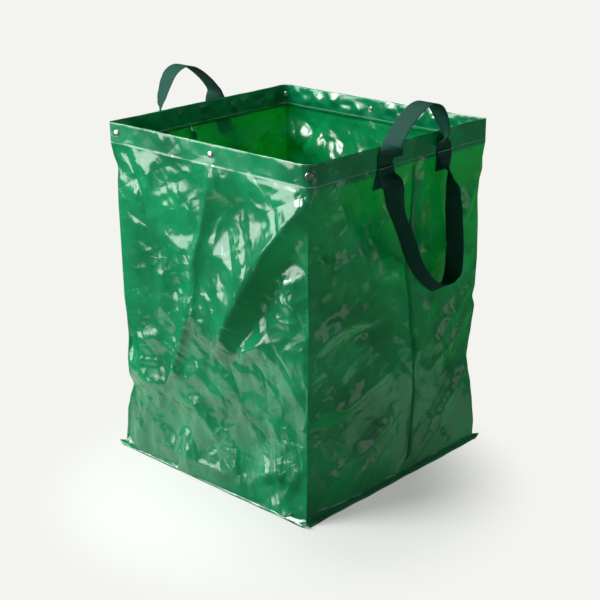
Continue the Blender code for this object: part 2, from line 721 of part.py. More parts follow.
def make_batten(name, sheet, material, half_turn):
    """The strip in the hem along the long wall, bent round the corner with the rivet."""
    shape = bmesh.new()
    start = FIRST_CORNER + END_RIVET_INSET - WASHER_DIAMETER / 2 - BATTEN_SHORT_OF_CORNER
    bend = SECOND_CORNER - RIVETED_CORNER_RADIUS
    places = [start]
    for stop in (FIRST_CORNER + FLARE_REACH, SECOND_CORNER - FLARE_REACH, bend):
        places += spread(places[-1], stop, BATTEN_STEP)[1:]
    places += [bend + RIVETED_CORNER_RADIUS * index / 3 for index in range(1, 7)]
    places.append(SECOND_CORNER + RIVETED_CORNER_RADIUS + BATTEN_PAST_CORNER)
    middle = (WALL_HEIGHT + TURN_HEIGHT - FLANGE_LEVEL) / 2
    rows = []
    for across in places:
        rows.append([
            shape.verts.new(fold_into_place(sheet, across, middle + side * BATTEN_HEIGHT / 2,
                                            -HEM_TURN))
            for side in (-1, 1)
        ])
    for low, high in zip(rows, rows[1:]):
        shape.faces.new((low[0], high[0], high[1], low[1]))
    piece = place_mesh(name, mesh_from(name, shape), material, half_turn)
    add_thickness(piece, BATTEN)
    return piece


def base_ring(shape, outward, height):
    """Four corners of the base sheet, outside the foot line by a distance and at a height."""
    half_length = FOOT_LENGTH / 2 + outward
    half_depth = FOOT_DEPTH / 2 + outward
    signs = ((-1, -1), (1, -1), (1, 1), (-1, 1))
    return [shape.verts.new((x * half_length, y * half_depth, height)) for x, y in signs]


def make_base(material):
    """The square floor sheet: flat, rolled up to the foot seam, and down again as a flange."""
    shape = bmesh.new()
    reach = BASE_FLANGE * math.cos(FLANGE_DROOP)
    rings = [base_ring(shape, reach, BASE_RIDGE - BASE_FLANGE * math.sin(FLANGE_DROOP))]
    for share in (0.0, 0.25, 0.5, 0.75, 1.0):
        height = FILM / 2 + (BASE_RIDGE - FILM / 2) * (1 - share) ** 2
        rings.append(base_ring(shape, -BASE_ROLL * share, height))
    for outer, inner in zip(rings, rings[1:]):
        for index in range(4):
            after = (index + 1) % 4
            shape.faces.new((outer[index], outer[after], inner[after], inner[index]))
    shape.faces.new(rings[-1])
    piece = place_mesh("base_panel", mesh_from("base_panel", shape), material)
    add_thickness(piece, FILM)
    return piece


def smooth_stop(stops, position):
    """Values of a loop's stops at a position, smooth in place and steady in turn and tip."""
    index = min(int(position), len(stops) - 2)
    share = position - index
    picks = [stops[min(max(index + step, 0), len(stops) - 1)] for step in (-1, 0, 1, 2)]
    values = []
    for a, b, c, d in list(zip(*picks))[:2]:
        values.append(0.5 * (2 * b + (c - a) * share + (2 * a - 5 * b + 4 * c - d) * share ** 2
                             + (3 * b - a - 3 * c + d) * share ** 3))
    ease = share * share * (3 - 2 * share)
    for b, c in list(zip(picks[1], picks[2]))[2:]:
        values.append(between(b, c, ease))
    return values


def lengthen_feet(stops, more):
    """Carry both feet further down the wall, each the way it already slants."""
    longer = []
    for foot, before in ((stops[0], stops[1]), (stops[-1], stops[-2])):
        slant = (foot[0] - before[0]) / (before[1] - foot[1])
        longer.append((foot[0] + slant * more, foot[1] - more, *foot[2:]))
    return [longer[0]] + stops + [longer[1]]


def loop_rows(stops, reach, layer, tail):
    """Edges of the webbing along a loop, as pairs of points."""
    half = WEBBING_WIDTH / 2
    if tail:
        stops = lengthen_feet(stops, tail / reach)
    samples = SAMPLES_A_STOP * (len(stops) - 1)
    fine = [smooth_stop(stops, index / SAMPLES_A_STOP) for index in range(samples + 1)]
    rows = []
    length = 0.0
    last_centre = None
    for along, rise, turn, tip in fine:
        turn = math.radians(turn)
        tip = math.radians(tip)
        width = Vector((math.sin(turn) * math.cos(tip), math.cos(turn) * math.cos(tip),
                        math.sin(tip)))
        away = math.sin(turn)
        centre = Vector((
            BAG_LENGTH / 2 + layer + WEBBING_STANDOFF * away + half * away * math.cos(tip),
            SEAM_OFFSET + along * HANDLE_SPACING / 2,
            STITCH_HEIGHT + rise * reach,
        ))
        if last_centre is not None:
            length += (centre - last_centre).length
        rows.append((length, centre, width * half))
        last_centre = centre
    count = math.ceil(length / WEBBING_STEP)
    picked = []
    cursor = 0
    for index in range(count + 1):
        goal = length * index / count
        while cursor < len(rows) - 2 and rows[cursor + 1][0] < goal:
            cursor += 1
        low, high = rows[cursor], rows[cursor + 1]
        share = min((goal - low[0]) / (high[0] - low[0]), 1.0)
        centre = low[1].lerp(high[1], share)
        side = low[2].lerp(high[2], share)
        picked.append((centre - side, centre, centre + side))
    return picked


def make_loop(name, stops, reach, layer, tail, material, half_turn):
    """One loop of webbing."""
    shape = bmesh.new()
    rows = [[shape.verts.new(point) for point in row]
            for row in loop_rows(stops, reach, layer, tail)]
    for low, high in zip(rows, rows[1:]):
        for side in (0, 1):
            shape.faces.new((low[side], high[side], high[side + 1], low[side + 1]))
    bmesh.ops.recalc_face_normals(shape, faces=shape.faces)
    piece = place_mesh(name, mesh_from(name, shape), material, half_turn)
    add_thickness(piece, WEBBING)
    return piece


def make_walls(film, batten_plastic, metal):
    """Both wall sheets with their battens, rivets and washers."""
    rivet = rivet_mesh()
    flat_washer = washer_mesh("flat_washer", 0.0)
    corner_washer = washer_mesh("corner_washer", corner_sagitta())
    sides = (("front", FRONT_SHEET, False), ("back", BACK_SHEET, True))
    for side, sheet, half_turn in sides:
        panel = make_wall_sheet(side + "_panel", sheet, film, half_turn)
        batten = make_batten(side + "_rim_batten", sheet, batten_plastic, half_turn)
        turned = Matrix.Rotation(math.pi, 4, "Z") if half_turn else Matrix.Identity(4)
        for spot, frame in rivet_frames(sheet).items():
            cutter = make_cutter(side + "_" + spot + "_hole", frame, half_turn)
            pierce(panel, cutter)
            pierce(batten, cutter)
            cap = place_mesh(side + "_" + spot + "_rivet", rivet, metal)
            cap.matrix_world = turned @ frame
            washer = corner_washer if spot == "corner" else flat_washer
            ring = place_mesh(side + "_" + spot + "_washer", washer, metal)
            ring.matrix_world = turned @ frame


def make_handles(webbing):
    """A carry loop and a tipping loop on each end wall."""
    ends = (("right", RIGHT_CARRY_RISE, False), ("left", LEFT_CARRY_RISE, True))
    for end, rise, half_turn in ends:
        make_loop(end + "_carry_loop", CARRY_STOPS, rise, LAYER, CARRY_TAIL / 2, webbing,
                  half_turn)
        make_loop(end + "_tipping_loop", TIPPING_STOPS, TIPPING_DROP,
                  LAYER + WEBBING + CLEARANCE, 0.0, webbing, half_turn)


def main():
    """Build the whole bag."""
    clear_scene()
    film = make_material("green_film", (0.01, 0.25, 0.09), 0.25)
    webbing = make_material("dark_green_webbing", (0.02, 0.12, 0.08), 0.75)
    batten_plastic = make_material("batten_plastic", (0.02, 0.03, 0.02), 0.5)
    metal = make_material("pale_rivet_metal", (0.75, 0.72, 0.62), 0.3, 1.0)
    make_walls(film, batten_plastic, metal)
    make_base(film)
    make_handles(webbing)


main()
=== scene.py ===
# %% [markdown]
# A garden waste bag that stands open by itself. The real one is sewn from glossy green film: two
# sheets make the four walls, a square sheet makes the base, and flat webbing makes the handles.
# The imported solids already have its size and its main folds. This lesson dresses them: finer film,
# woven handles, real stitches, polished rivets and a plain studio.

import math
import random

import bmesh
import bpy
import numpy as np
from mathutils import Matrix, Vector
from mathutils.bvhtree import BVHTree
from mathutils.geometry import delaunay_2d_cdt


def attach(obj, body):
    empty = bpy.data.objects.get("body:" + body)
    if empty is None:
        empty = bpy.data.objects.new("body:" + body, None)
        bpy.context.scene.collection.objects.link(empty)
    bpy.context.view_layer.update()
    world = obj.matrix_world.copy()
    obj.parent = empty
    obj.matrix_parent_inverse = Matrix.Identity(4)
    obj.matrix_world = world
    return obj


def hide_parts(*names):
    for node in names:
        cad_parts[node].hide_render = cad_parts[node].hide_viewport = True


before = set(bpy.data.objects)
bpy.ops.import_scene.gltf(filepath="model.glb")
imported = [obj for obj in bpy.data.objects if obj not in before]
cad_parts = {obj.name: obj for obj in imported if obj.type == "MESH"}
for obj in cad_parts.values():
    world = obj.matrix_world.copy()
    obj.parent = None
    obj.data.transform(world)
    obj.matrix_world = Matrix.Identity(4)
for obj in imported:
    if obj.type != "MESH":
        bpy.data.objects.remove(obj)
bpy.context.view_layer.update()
MM = 0.001
print("solids:", sorted(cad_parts))

# %% [markdown]
# The camera comes first, so that every later step can be judged in the same view. Its place was
# found from the corners of the rim and of the base: a fairly long lens, a little above the bag and
# turned almost to the front corner. A small shift puts the bag where the photograph has it.

# %% Camera
CAMERA_PLACE = Vector((1.6912, -1.7638, 1.1817))
CAMERA_TARGET = Vector((0.0, 0.0, 0.325))
CAMERA_ROLL = math.radians(-0.683)
CAMERA_LENS = 81.83
CAMERA_SHIFT = (0.0035, -0.0242)


def make_camera():
    """A camera that looks at the bag as the photograph does."""
    data = bpy.data.cameras.new("camera")
    data.lens = CAMERA_LENS
    data.shift_x, data.shift_y = CAMERA_SHIFT
    camera = bpy.data.objects.new("camera", data)
    bpy.context.scene.collection.objects.link(camera)
    aim = (CAMERA_TARGET - CAMERA_PLACE).to_track_quat("-Z", "Y").to_matrix().to_4x4()
    roll = Matrix.Rotation(CAMERA_ROLL, 4, "Z")
    camera.matrix_world = Matrix.Translation(CAMERA_PLACE) @ aim @ roll
    bpy.context.scene.camera = camera


make_camera()
print("camera is", round((CAMERA_PLACE - CAMERA_TARGET).length, 3), "m from the bag")

# %% [markdown]
# The sizes of the cut film. A bag like this begins as flat sheets, so the script also thinks flat:
# `across` runs along a sheet's width and `up` along its height. Each sheet starts at the end seam,
# goes round two corners and ends at the other seam. The back sheet is the same, turned half round.

# %% Sizes of the film
BAG_HEIGHT = 645 * MM
BAG_LENGTH = 500 * MM
BAG_DEPTH = 464 * MM
FOOT_LENGTH = 486 * MM
FOOT_DEPTH = 478 * MM
FILM = 0.4 * MM
CLEARANCE = 0.3 * MM
BATTEN = 1.2 * MM
BATTEN_HEIGHT = 31 * MM
HEM_HEIGHT = 38 * MM
HEM_TUCK = 6 * MM
FLANGE = 12 * MM
FLANGE_DROOP = math.radians(38)
SEAM_OFFSET = 34 * MM
SEAM_ALLOWANCE = 10 * MM
SEAM_END_SPACE = 10 * MM
FREE_CORNER_RADIUS = 6 * MM
RIVETED_CORNER_RADIUS = 18 * MM
HEM_SHAPE_FADE = 30 * MM
FLARE_REACH = 46 * MM

HEM_ROOM = BATTEN + 2 * CLEARANCE
HEM_TURN = (HEM_ROOM + FILM) / 2
BASE_RIDGE = FLANGE * math.sin(FLANGE_DROOP) + FILM
FLANGE_LEVEL = BASE_RIDGE + (FILM + CLEARANCE) / math.cos(FLANGE_DROOP)
STITCH_HEIGHT = BAG_HEIGHT - HEM_HEIGHT
WALL_HEIGHT = STITCH_HEIGHT - FLANGE_LEVEL
TURN_HEIGHT = BAG_HEIGHT - FILM / 2 - HEM_TURN
RIM = TURN_HEIGHT - FLANGE_LEVEL
TURN_LENGTH = math.pi * HEM_TURN
INNER_STITCH_UP = RIM + TURN_LENGTH + TURN_HEIGHT - STITCH_HEIGHT
FIRST_CORNER = BAG_DEPTH / 2 - SEAM_OFFSET
SECOND_CORNER = FIRST_CORNER + BAG_LENGTH
SHEET_WIDTH = BAG_DEPTH + BAG_LENGTH
print("each sheet is", round(SHEET_WIDTH / MM), "mm wide between its seams")

# %% [markdown]
# A bag of film is never a perfect box. Its corners are pinched in here and there where it was once
# folded flat, and the end seam wanders. These profiles give that, by percent of the wall's height:
# first how far the seam strays and dips, then how far each corner is pinched in along X and Y.

# %% Pinched corners and the wandering seam
SEAM_PATH = [
    (0, -14, 0), (5, 9, 2), (10, 16, 4), (18, 22, 6), (25, 26, 7), (33, 23, 7), (42, 19, 6),
    (48, 8, 5), (56, 4, 5), (67, -9, 5), (83, -1, 4), (94, 0, 2), (100, 0, 0), (107, 0, 0),
]
FRONT_LEFT_PINCH = [
    (0, 0, 0), (7, 3, 3), (11, 4, 4), (15, 8, 8), (20, 15, 13), (24, 10, 7), (29, 10, 6),
    (37, 11, 10), (44, 9, 10), (50, 7, 8), (62, 6, 8), (80, 6, 7), (87, 6, 8), (92, 8, 9),
    (96, 4, 4), (100, 2, 2), (107, 2, 2),
]
FRONT_RIGHT_PINCH = [
    (0, 0, 0), (7, 4, 6), (14, 8, 10), (26, 13, 15), (32, 9, 12), (45, 9, 12), (63, 10, 13),
    (76, 12, 12), (87, 8, 9), (95, 0, 0), (100, 0, 0), (107, 0, 0),
]
BACK_RIGHT_PINCH = [
    (0, 0, 0), (5, -2, 1), (12, -1, 6), (19, 1, 11), (25, 4, 17), (29, 6, 20), (33, 5, 17),
    (39, 3, 12), (46, 1, 7), (49, 4, 10), (53, 1, 7), (62, 0, 5), (73, 1, 5), (82, 3, 6),
    (87, 2, 4), (91, -1, 0), (96, 0, 0), (100, 0, 0), (107, 0, 0),
]
BACK_LEFT_PINCH = [
    (0, 0, 0), (9, 5, 4), (15, 8, 9), (27, 6, 8), (35, 12, 12), (44, 8, 8), (55, 9, 13),
    (66, 6, 9), (75, 11, 12), (83, 7, 8), (90, 10, 10), (96, 0, 0), (100, 0, 0), (107, 0, 0),
]
FRONT_SHEET = {
    "name": "front", "node": "front_panel", "turned": False, "seed": 5,
    "first_pinch": FRONT_LEFT_PINCH, "second_pinch": FRONT_RIGHT_PINCH,
    "first_flare": 3, "second_flare": 0,
}
BACK_SHEET = {
    "name": "back", "node": "back_panel", "turned": True, "seed": 8,
    "first_pinch": BACK_RIGHT_PINCH, "second_pinch": BACK_LEFT_PINCH,
    "first_flare": 5, "second_flare": 3,
}
SHEETS = (FRONT_SHEET, BACK_SHEET)
TURNS = {False: Matrix.Identity(4), True: Matrix.Rotation(math.pi, 4, "Z")}


def between(low, high, share):
    """The value that lies `share` of the way from low to high."""
    return low + (high - low) * share


def read_profile(profile, percent):
    """Values of a profile at one height, easing from one entry to the next."""
    low = profile[0]
    for high in profile[1:]:
        if percent <= high[0]:
            share = min(max((percent - low[0]) / (high[0] - low[0]), 0.0), 1.0)
            eased = between(share, share * share * (3 - 2 * share), 0.5)
            return [between(a, b, eased) for a, b in zip(low[1:], high[1:])]
        low = high
    return list(low[1:])


print("corner profiles:", [len(sheet["first_pinch"]) for sheet in SHEETS])

# %% [markdown]
# This is the fold itself. For one height the sheet's path in plan is three straight stretches, and
# the section gives the flange, the wall, the tight turn at the rim and the hem inside. Put
# together they carry any point of the flat sheet to its place on the bag. A sewn flange is never
# quite even: it waves a little, stands up as small ears at the corners, and the front wall sags
# over it.

# %% Fold the sheet
def plan_at(sheet, height):
    """The sheet's start, two corners and end in plan, at one height, and its corner radii."""
    percent = 100 * (height - FLANGE_LEVEL) / WALL_HEIGHT
    share = min(percent / 100, 1.0)
    half_length = between(FOOT_LENGTH, BAG_LENGTH, share) / 2
    half_depth = between(FOOT_DEPTH, BAG_DEPTH, share) / 2
    shift, dip = read_profile(SEAM_PATH, percent)
    seam_x = half_length - dip * MM
    seam_y = SEAM_OFFSET + shift * MM
    half_gap = (FILM + CLEARANCE) / 2
    first_x, first_y = read_profile(sheet["first_pinch"], percent)
    second_x, second_y = read_profile(sheet["second_pinch"], percent)
    corners = [
        Vector((-seam_x, -seam_y - half_gap)),
        Vector((-half_length + first_x * MM, -half_depth + first_y * MM)),
        Vector((half_length - second_x * MM, -half_depth + second_y * MM)),
        Vector((seam_x, seam_y - half_gap)),
    ]
    rounding = hem_share(height)
    return corners, [0.0, FREE_CORNER_RADIUS * rounding, RIVETED_CORNER_RADIUS * rounding]


def hem_share(height):
    """How far the hem's corner shape goes: not on the wall, and fully from the raw edge up."""
    raw_edge = STITCH_HEIGHT - HEM_TUCK
    return min(max(1 + (height - raw_edge) / HEM_SHAPE_FADE, 0.0), 1.0)


def corner_lean(sheet, across, height):
    """How far the hem leans out near its corners."""
    lean = Vector((0.0, 0.0))
    for corner, radius, side, flare in (
            (FIRST_CORNER, FREE_CORNER_RADIUS, -1, "first_flare"),
            (SECOND_CORNER, RIVETED_CORNER_RADIUS, 1, "second_flare")):
        nearness = (FLARE_REACH - abs(across - corner)) / (FLARE_REACH - radius)
        amount = sheet[flare] * MM * hem_share(height) * min(max(nearness, 0.0), 1.0)
        lean += Vector((side, -1)) * amount
    return lean


def round_corner(corner, own_way, other_way, distance, radius):
    """Point and outward direction at a distance from a corner, on the side of own_way."""
    if radius < FILM:
        outward = -(own_way + other_way)
        return corner + own_way * distance, outward if distance < FILM else -other_way
    angle = math.pi / 4 * (1 - distance / radius)
    outward = -(other_way * math.cos(angle) + own_way * math.sin(angle))
    return corner + (own_way + other_way) * radius + outward * radius, outward


def point_in_plan(plan, across):
    """Point and outward direction of the film in plan."""
    corners, radii = plan
    starts = [0.0, FIRST_CORNER, SECOND_CORNER, SHEET_WIDTH]
    across = min(max(across, 0.0), SHEET_WIDTH)
    wall = 0 if across <= FIRST_CORNER else 1 if across <= SECOND_CORNER else 2
    share = (across - starts[wall]) / (starts[wall + 1] - starts[wall])
    ways = [(b - a).normalized() for a, b in zip(corners, corners[1:])]
    length = (corners[wall + 1] - corners[wall]).length
    before = share * length
    after = length - before
    if wall > 0 and before < max(radii[wall], FILM):
        return round_corner(corners[wall], ways[wall], -ways[wall - 1], before, radii[wall])
    if wall < 2 and after < max(radii[wall + 1], FILM):
        return round_corner(corners[wall + 1], -ways[wall], ways[wall + 1], after,
                            radii[wall + 1])
    return corners[wall] + ways[wall] * before, Vector((ways[wall].y, -ways[wall].x))


def section_at(up):
    """Height and inward offset of the film's section: flange, wall, rim turn and hem."""
    if up <= 0:
        return FLANGE_LEVEL + up * math.sin(FLANGE_DROOP), up * math.cos(FLANGE_DROOP)
    if up <= RIM:
        return FLANGE_LEVEL + up, 0.0
    if up <= RIM + TURN_LENGTH:
        angle = (up - RIM) / HEM_TURN
        return TURN_HEIGHT + HEM_TURN * math.sin(angle), HEM_TURN * (1 - math.cos(angle))
    return TURN_HEIGHT - (up - RIM - TURN_LENGTH), 2 * HEM_TURN


EAR_CURL = 0.85
FLANGE_WAVE = 1.2 * MM
FLANGE_WAVE_LENGTHS = (13 * MM, 11 * MM, 29 * MM)


def flange_lift(x, y):
    """How much higher the two flanges lie at a place in plan: ears at the corners, and waves."""
    past_x, past_y = abs(x) - FOOT_LENGTH / 2, abs(y) - FOOT_DEPTH / 2
    ear = max(min(past_x, past_y), 0.0) * EAR_CURL
    past = min(max(past_x, past_y, 0.0), FLANGE) / FLANGE
    wave = sum(math.sin(place / length)
               for place, length in zip((x, y, x - y), FLANGE_WAVE_LENGTHS))
    return ear + FLANGE_WAVE * past * max(wave + 1, 0.0) / 2


# where the front wall sags over the flange: percent from the wall's middle, and how far
SAG = [(-100, 0), (-96, 0), (-86, 1), (80, 1), (92, 0), (100, 0)]
SAG_LYING = 10 * MM
SAG_CLEARANCE = 1.5 * MM
SAG_RISE = 75 * MM


def foot_sag(sheet, across, up):
    """How far out and down the front wall sags over its flange near the foot."""
    if sheet["turned"] or not 0 < up < SAG_RISE:
        return 0.0, 0.0
    percent = 100 * (2 * (across - FIRST_CORNER) / BAG_LENGTH - 1)
    amount = read_profile(SAG, percent)[0] if abs(percent) < 100 else 0.0
    if up < SAG_LYING:
        out = up * math.cos(FLANGE_DROOP) + min(up / 3, SAG_CLEARANCE)
        return amount * out, -amount * up * (1 + math.sin(FLANGE_DROOP))
    left = 1 - (up - SAG_LYING) / (SAG_RISE - SAG_LYING)
    eased = left * left * (3 - 2 * left)
    return (amount * (SAG_LYING * math.cos(FLANGE_DROOP) + SAG_CLEARANCE) * eased,
            -amount * SAG_LYING * (1 + math.sin(FLANGE_DROOP)) * left ** 2)


def fold_point(sheet, plan, across, up, lift):
    """Where a point of the flat sheet lies, and which way is out there."""
    height, inward = section_at(up)
    out, down = foot_sag(sheet, across, up)
    lift += out
    point, outward = point_in_plan(plan, across)
    wave = hem_wave(sheet, across, height)
    point = point + outward * (lift - inward + wave) + corner_lean(sheet, across, height)
    if up < 0:
        down += flange_lift(*(-point if sheet["turned"] else point))
    past_start = max(-across, 0.0)
    past_end = max(across - SHEET_WIDTH, 0.0)
    return Vector((point.x + past_start - past_end, point.y, height + down)), outward.to_3d()


def film_place(sheet, across, up, lift=0.0):
    """Place and outward direction for one point of the flat sheet."""
    plan = plan_at(sheet, max(section_at(up)[0], FLANGE_LEVEL))
    return fold_point(sheet, plan, across, up, lift)


# %% [markdown]
# The hem is two layers over a thin batten, held only by the stitches and three rivets. Between
# those it waves a little. The wave is a smooth sum of two sines, and it dies out at each rivet,
# at the corners and where the handles are sewn on, so nothing that sits there is disturbed.

# %% Wave in the hem
END_RIVET_INSET = 20 * MM
MIDDLE_RIVET_OFFSET = 18 * MM
RIVET_PLACES = {
    "left": FIRST_CORNER + END_RIVET_INSET,
    "middle": FIRST_CORNER + BAG_LENGTH / 2 + MIDDLE_RIVET_OFFSET,
    "corner": SECOND_CORNER,
}
HANDLE_SPACING = 161 * MM
WEBBING_WIDTH = 40 * MM
HANDLE_FEET = (HANDLE_SPACING / 2, SHEET_WIDTH - HANDLE_SPACING / 2)
HEM_WAVE = 0.8 * MM
HEM_WAVE_LENGTHS = (17 * MM, 9.7 * MM)
# what holds the hem: its places, how far round each the hem is still, and where it moves freely
HEM_HOLDS = [
    (RIVET_PLACES.values(), 10 * MM, 40 * MM),
    ((FIRST_CORNER, 0.0, SHEET_WIDTH), 6 * MM, 36 * MM),
    (HANDLE_FEET, 24 * MM, 44 * MM),
]


def stillness(across):
    """1 where the hem is free to move, 0 at rivets, corners and handle feet."""
    free = min((abs(across - place) - still) / (loose - still)
               for places, still, loose in HEM_HOLDS for place in places)
    return min(max(free, 0.0), 1.0)


def hem_wave(sheet, across, height):
    """How far the hem waves outward, none at the stitch line and most at the rim."""
    rise = (height - STITCH_HEIGHT) / HEM_HEIGHT
    if rise <= 0:
        return 0.0
    phase = sheet["seed"]
    long_wave, short_wave = [across / length for length in HEM_WAVE_LENGTHS]
    wave = math.sin(long_wave + phase) + 0.6 * math.sin(short_wave + 2 * phase)
    return HEM_WAVE * wave * stillness(across) * rise


print("film at mid front:", [round(v / MM) for v in film_place(FRONT_SHEET, 0.45, 0.3)[0]])

# %% [markdown]
# Folds. Crumpled film is flat or gently curved nearly everywhere, with sharp lines where it has
# been creased. The big folds are read off the solids by shooting a ray at them from each point of
# the sheet. Sharp lines are then added one by one where the photograph has them, and a scatter of
# small random ones fills in the rest. Each line is a cusp: it falls away on both sides. The broad
# folds are tents, a ridge with two straight slopes that may reach differently far.

# %% Sharp creases and broad folds
# sharp folds: wall, line in percent of the wall from its middle and foot, height and width in mm
SHARP_FOLDS = {
    "front": [
        ("long", [(99, 95), (75, 82), (50, 67), (29, 54), (10, 41)], 3.0, 10),
        ("long", [(7, 99), (-1, 86), (-10, 70), (-14, 54), (-34, 37), (-53, 22)], 2.5, 8),
        ("long", [(-50, 99), (-60, 92), (-54, 83)], 2.4, 6),
        ("long", [(-50, 99), (-36, 93), (-27, 84)], 1.8, 6),
        ("long", [(33, 94), (12, 83), (4, 73), (23, 71)], 2.6, 7),
        ("long", [(33, 94), (39, 87), (36, 80)], -2.4, 6),
        ("long", [(33, 94), (54, 91), (76, 88)], 1.8, 6),
        ("long", [(79, 92), (99, 90)], 1.6, 5),
        ("long", [(72, 69), (97, 73)], 1.6, 5),
        ("long", [(61, 62), (78, 58), (98, 61)], 1.8, 5),
        ("long", [(12, 42), (38, 48), (70, 52), (87, 56)], 2.6, 8),
        ("long", [(-12, 60), (6, 59)], 1.6, 5),
        ("long", [(-21, 44), (-1, 39)], 1.6, 5),
        ("long", [(-69, 61), (-30, 63), (-17, 60)], 1.5, 5),
        ("long", [(-45, 71), (-23, 71)], 1.3, 5),
        ("long", [(-88, 52), (-68, 51), (-58, 45)], 2.2, 6),
        ("long", [(-92, 30), (-61, 32), (-48, 26)], 2.6, 7),
        ("long", [(-83, 25), (-70, 14)], 1.8, 6),
        ("long", [(-53, 22), (-75, 10), (-98, 2)], 2.6, 8),
        ("long", [(-53, 22), (-17, 22), (4, 15), (14, 5)], 2.4, 10),
        ("long", [(15, 22), (47, 34), (77, 46)], 2.0, 6),
        ("long", [(34, 25), (55, 26)], 1.5, 5),
        ("long", [(59, 23), (72, 22)], 1.5, 5),
        ("long", [(42, 9), (73, 8), (97, 22)], 2.6, 8),
        ("long", [(70, 7), (96, 2)], 2.0, 6),
        ("long", [(66, 94), (52, 98), (43, 99)], 1.6, 5),
        ("long", [(-25, 95), (-16, 88), (-20, 79)], 1.8, 7),
        ("long", [(-82, 97), (-66, 94), (-50, 92)], 1.7, 6),
        ("end", [(-96, 77), (-65, 76), (-37, 76)], 2.4, 7),
        ("end", [(-96, 80), (-78, 82), (-59, 88)], 1.9, 6),
        ("end", [(-97, 51), (-62, 54), (-28, 54)], 2.2, 7),
        ("end", [(-98, 28), (-62, 30), (-10, 35)], 2.8, 7),
        ("end", [(-97, 26), (-71, 20), (-42, 12)], 2.4, 6),
        ("end", [(-97, 22), (-68, 12)], 1.8, 6),
        ("end", [(-34, 62), (-14, 67), (7, 66)], 1.9, 6),
        ("end", [(-39, 43), (-34, 54), (-14, 58)], 1.5, 6),
        ("end", [(-75, 95), (-62, 88), (-73, 83)], 1.6, 7),
        ("end", [(-9, 15), (-24, 9), (-62, 3)], 2.0, 8),
        ("end", [(-90, 2), (-73, 6), (-45, 8)], 2.0, 6),
    ],
    "back": [
        ("start", [(98, 54), (75, 47), (40, 34)], 2.8, 7),
        ("start", [(91, 49), (65, 47), (26, 49)], 1.8, 6),
        ("start", [(97, 29), (58, 16), (26, 4)], 2.4, 8),
        ("start", [(85, 17), (96, 8)], 2.0, 5),
        ("start", [(29, 12), (63, 3)], 1.8, 6),
        ("start", [(96, 84), (71, 77), (56, 68)], 1.8, 7),
        ("long", [(96, 96), (82, 84), (78, 70)], 5, 10),
        ("long", [(70, 82), (40, 70), (5, 74)], -4, 10),
        ("long", [(-80, 60), (-30, 42), (10, 20)], 2.4, 9),
        ("long", [(-60, 24), (0, 12), (70, 18)], 2.2, 9),
        ("end", [(-90, 70), (-50, 60), (-10, 74)], 2.2, 8),
        ("end", [(-94, 30), (-40, 42), (0, 26)], 2.2, 8),
    ],
}
# broad folds: wall, line, height, and how far each slope reaches above and below the line, in mm
BROAD_FOLDS = {
    "front": [
        ("long", [(99, 96), (75, 83), (50, 67), (29, 54), (8, 40)], 22, 112, 32),
        ("long", [(7, 101), (0, 86), (-9, 70), (-14, 54), (-34, 37), (-53, 22)], 6, 16, 60),
        ("long", [(-100, 90), (-75, 85), (-45, 87), (-12, 92)], 8, 50, 80),
        ("long", [(22, 44), (55, 46), (80, 50), (101, 54)], 9, 42, 70),
        ("long", [(66, 63), (101, 67)], 4, 16, 30),
        ("long", [(-101, 47), (-84, 38), (-58, 40)], 9, 34, 34),
        ("long", [(-101, 30), (-76, 24), (-50, 26)], 7, 30, 30),
        ("long", [(40, 6), (72, 12), (101, 9)], 8, 34, 18),
        ("long", [(-53, 22), (-20, 24), (10, 14)], 5, 34, 60),
        ("long", [(62, 20), (80, 6), (101, 18)], 7, 22, 14),
        ("end", [(-101, 16), (-82, 5), (-64, 14)], 6, 20, 14),
        ("end", [(-101, 52), (-62, 56), (-22, 54)], 8, 34, 20),
        ("end", [(-101, 30), (-62, 31), (-4, 38)], 9, 40, 22),
        ("end", [(-70, 92), (-52, 80), (-30, 62)], 6, 30, 18),
        ("end", [(-40, 84), (-20, 70), (8, 66)], 7, 30, 26),
        ("end", [(-92, 8), (-50, 12), (-8, 20)], 6, 30, 20),
    ],
    "back": [
        ("start", [(101, 56), (72, 48), (30, 34)], 8, 34, 20),
        ("start", [(101, 30), (62, 16), (20, 3)], 8, 40, 24),
        ("start", [(96, 86), (70, 76), (40, 66)], 7, 34, 22),
        ("start", [(60, 60), (34, 52), (16, 36)], 5, 20, 30),
        ("long", [(101, 92), (78, 84), (60, 90)], -10, 34, 60),
        ("long", [(66, 92), (40, 82), (10, 90)], -13, 34, 70),
        ("long", [(0, 90), (-40, 82), (-80, 92)], -9, 34, 70),
        ("long", [(80, 60), (30, 50), (-20, 66)], 9, 60, 30),
        ("long", [(10, 34), (-40, 40), (-90, 30)], 8, 50, 34),
        ("long", [(70, 20), (20, 14), (-30, 22)], 7, 34, 40),
        ("end", [(-90, 72), (-50, 62), (-10, 76)], 8, 40, 26),
        ("end", [(-94, 32), (-40, 42), (0, 28)], 8, 40, 30),
    ],
}
SMALL_CREASES = 130
SMALL_CREASE_LIFT = 1.5 * MM
SMALL_CREASE_MARGIN = 20 * MM


def wall_place(wall, percent):
    """Place across the sheet for a percent from the middle of its start, long or end wall."""
    if wall == "start":
        return abs(percent) / 100 * BAG_DEPTH / 2 - SEAM_OFFSET
    if wall == "long":
        return FIRST_CORNER + BAG_LENGTH / 2 * (1 + percent / 100)
    return SECOND_CORNER + BAG_DEPTH / 2 * (1 + percent / 100)


def on_sheet(wall, points):
    """Points of a wall, in percent, as places on the flat sheet."""
    return [(wall_place(wall, x), y / 100 * WALL_HEIGHT) for x, y in points]


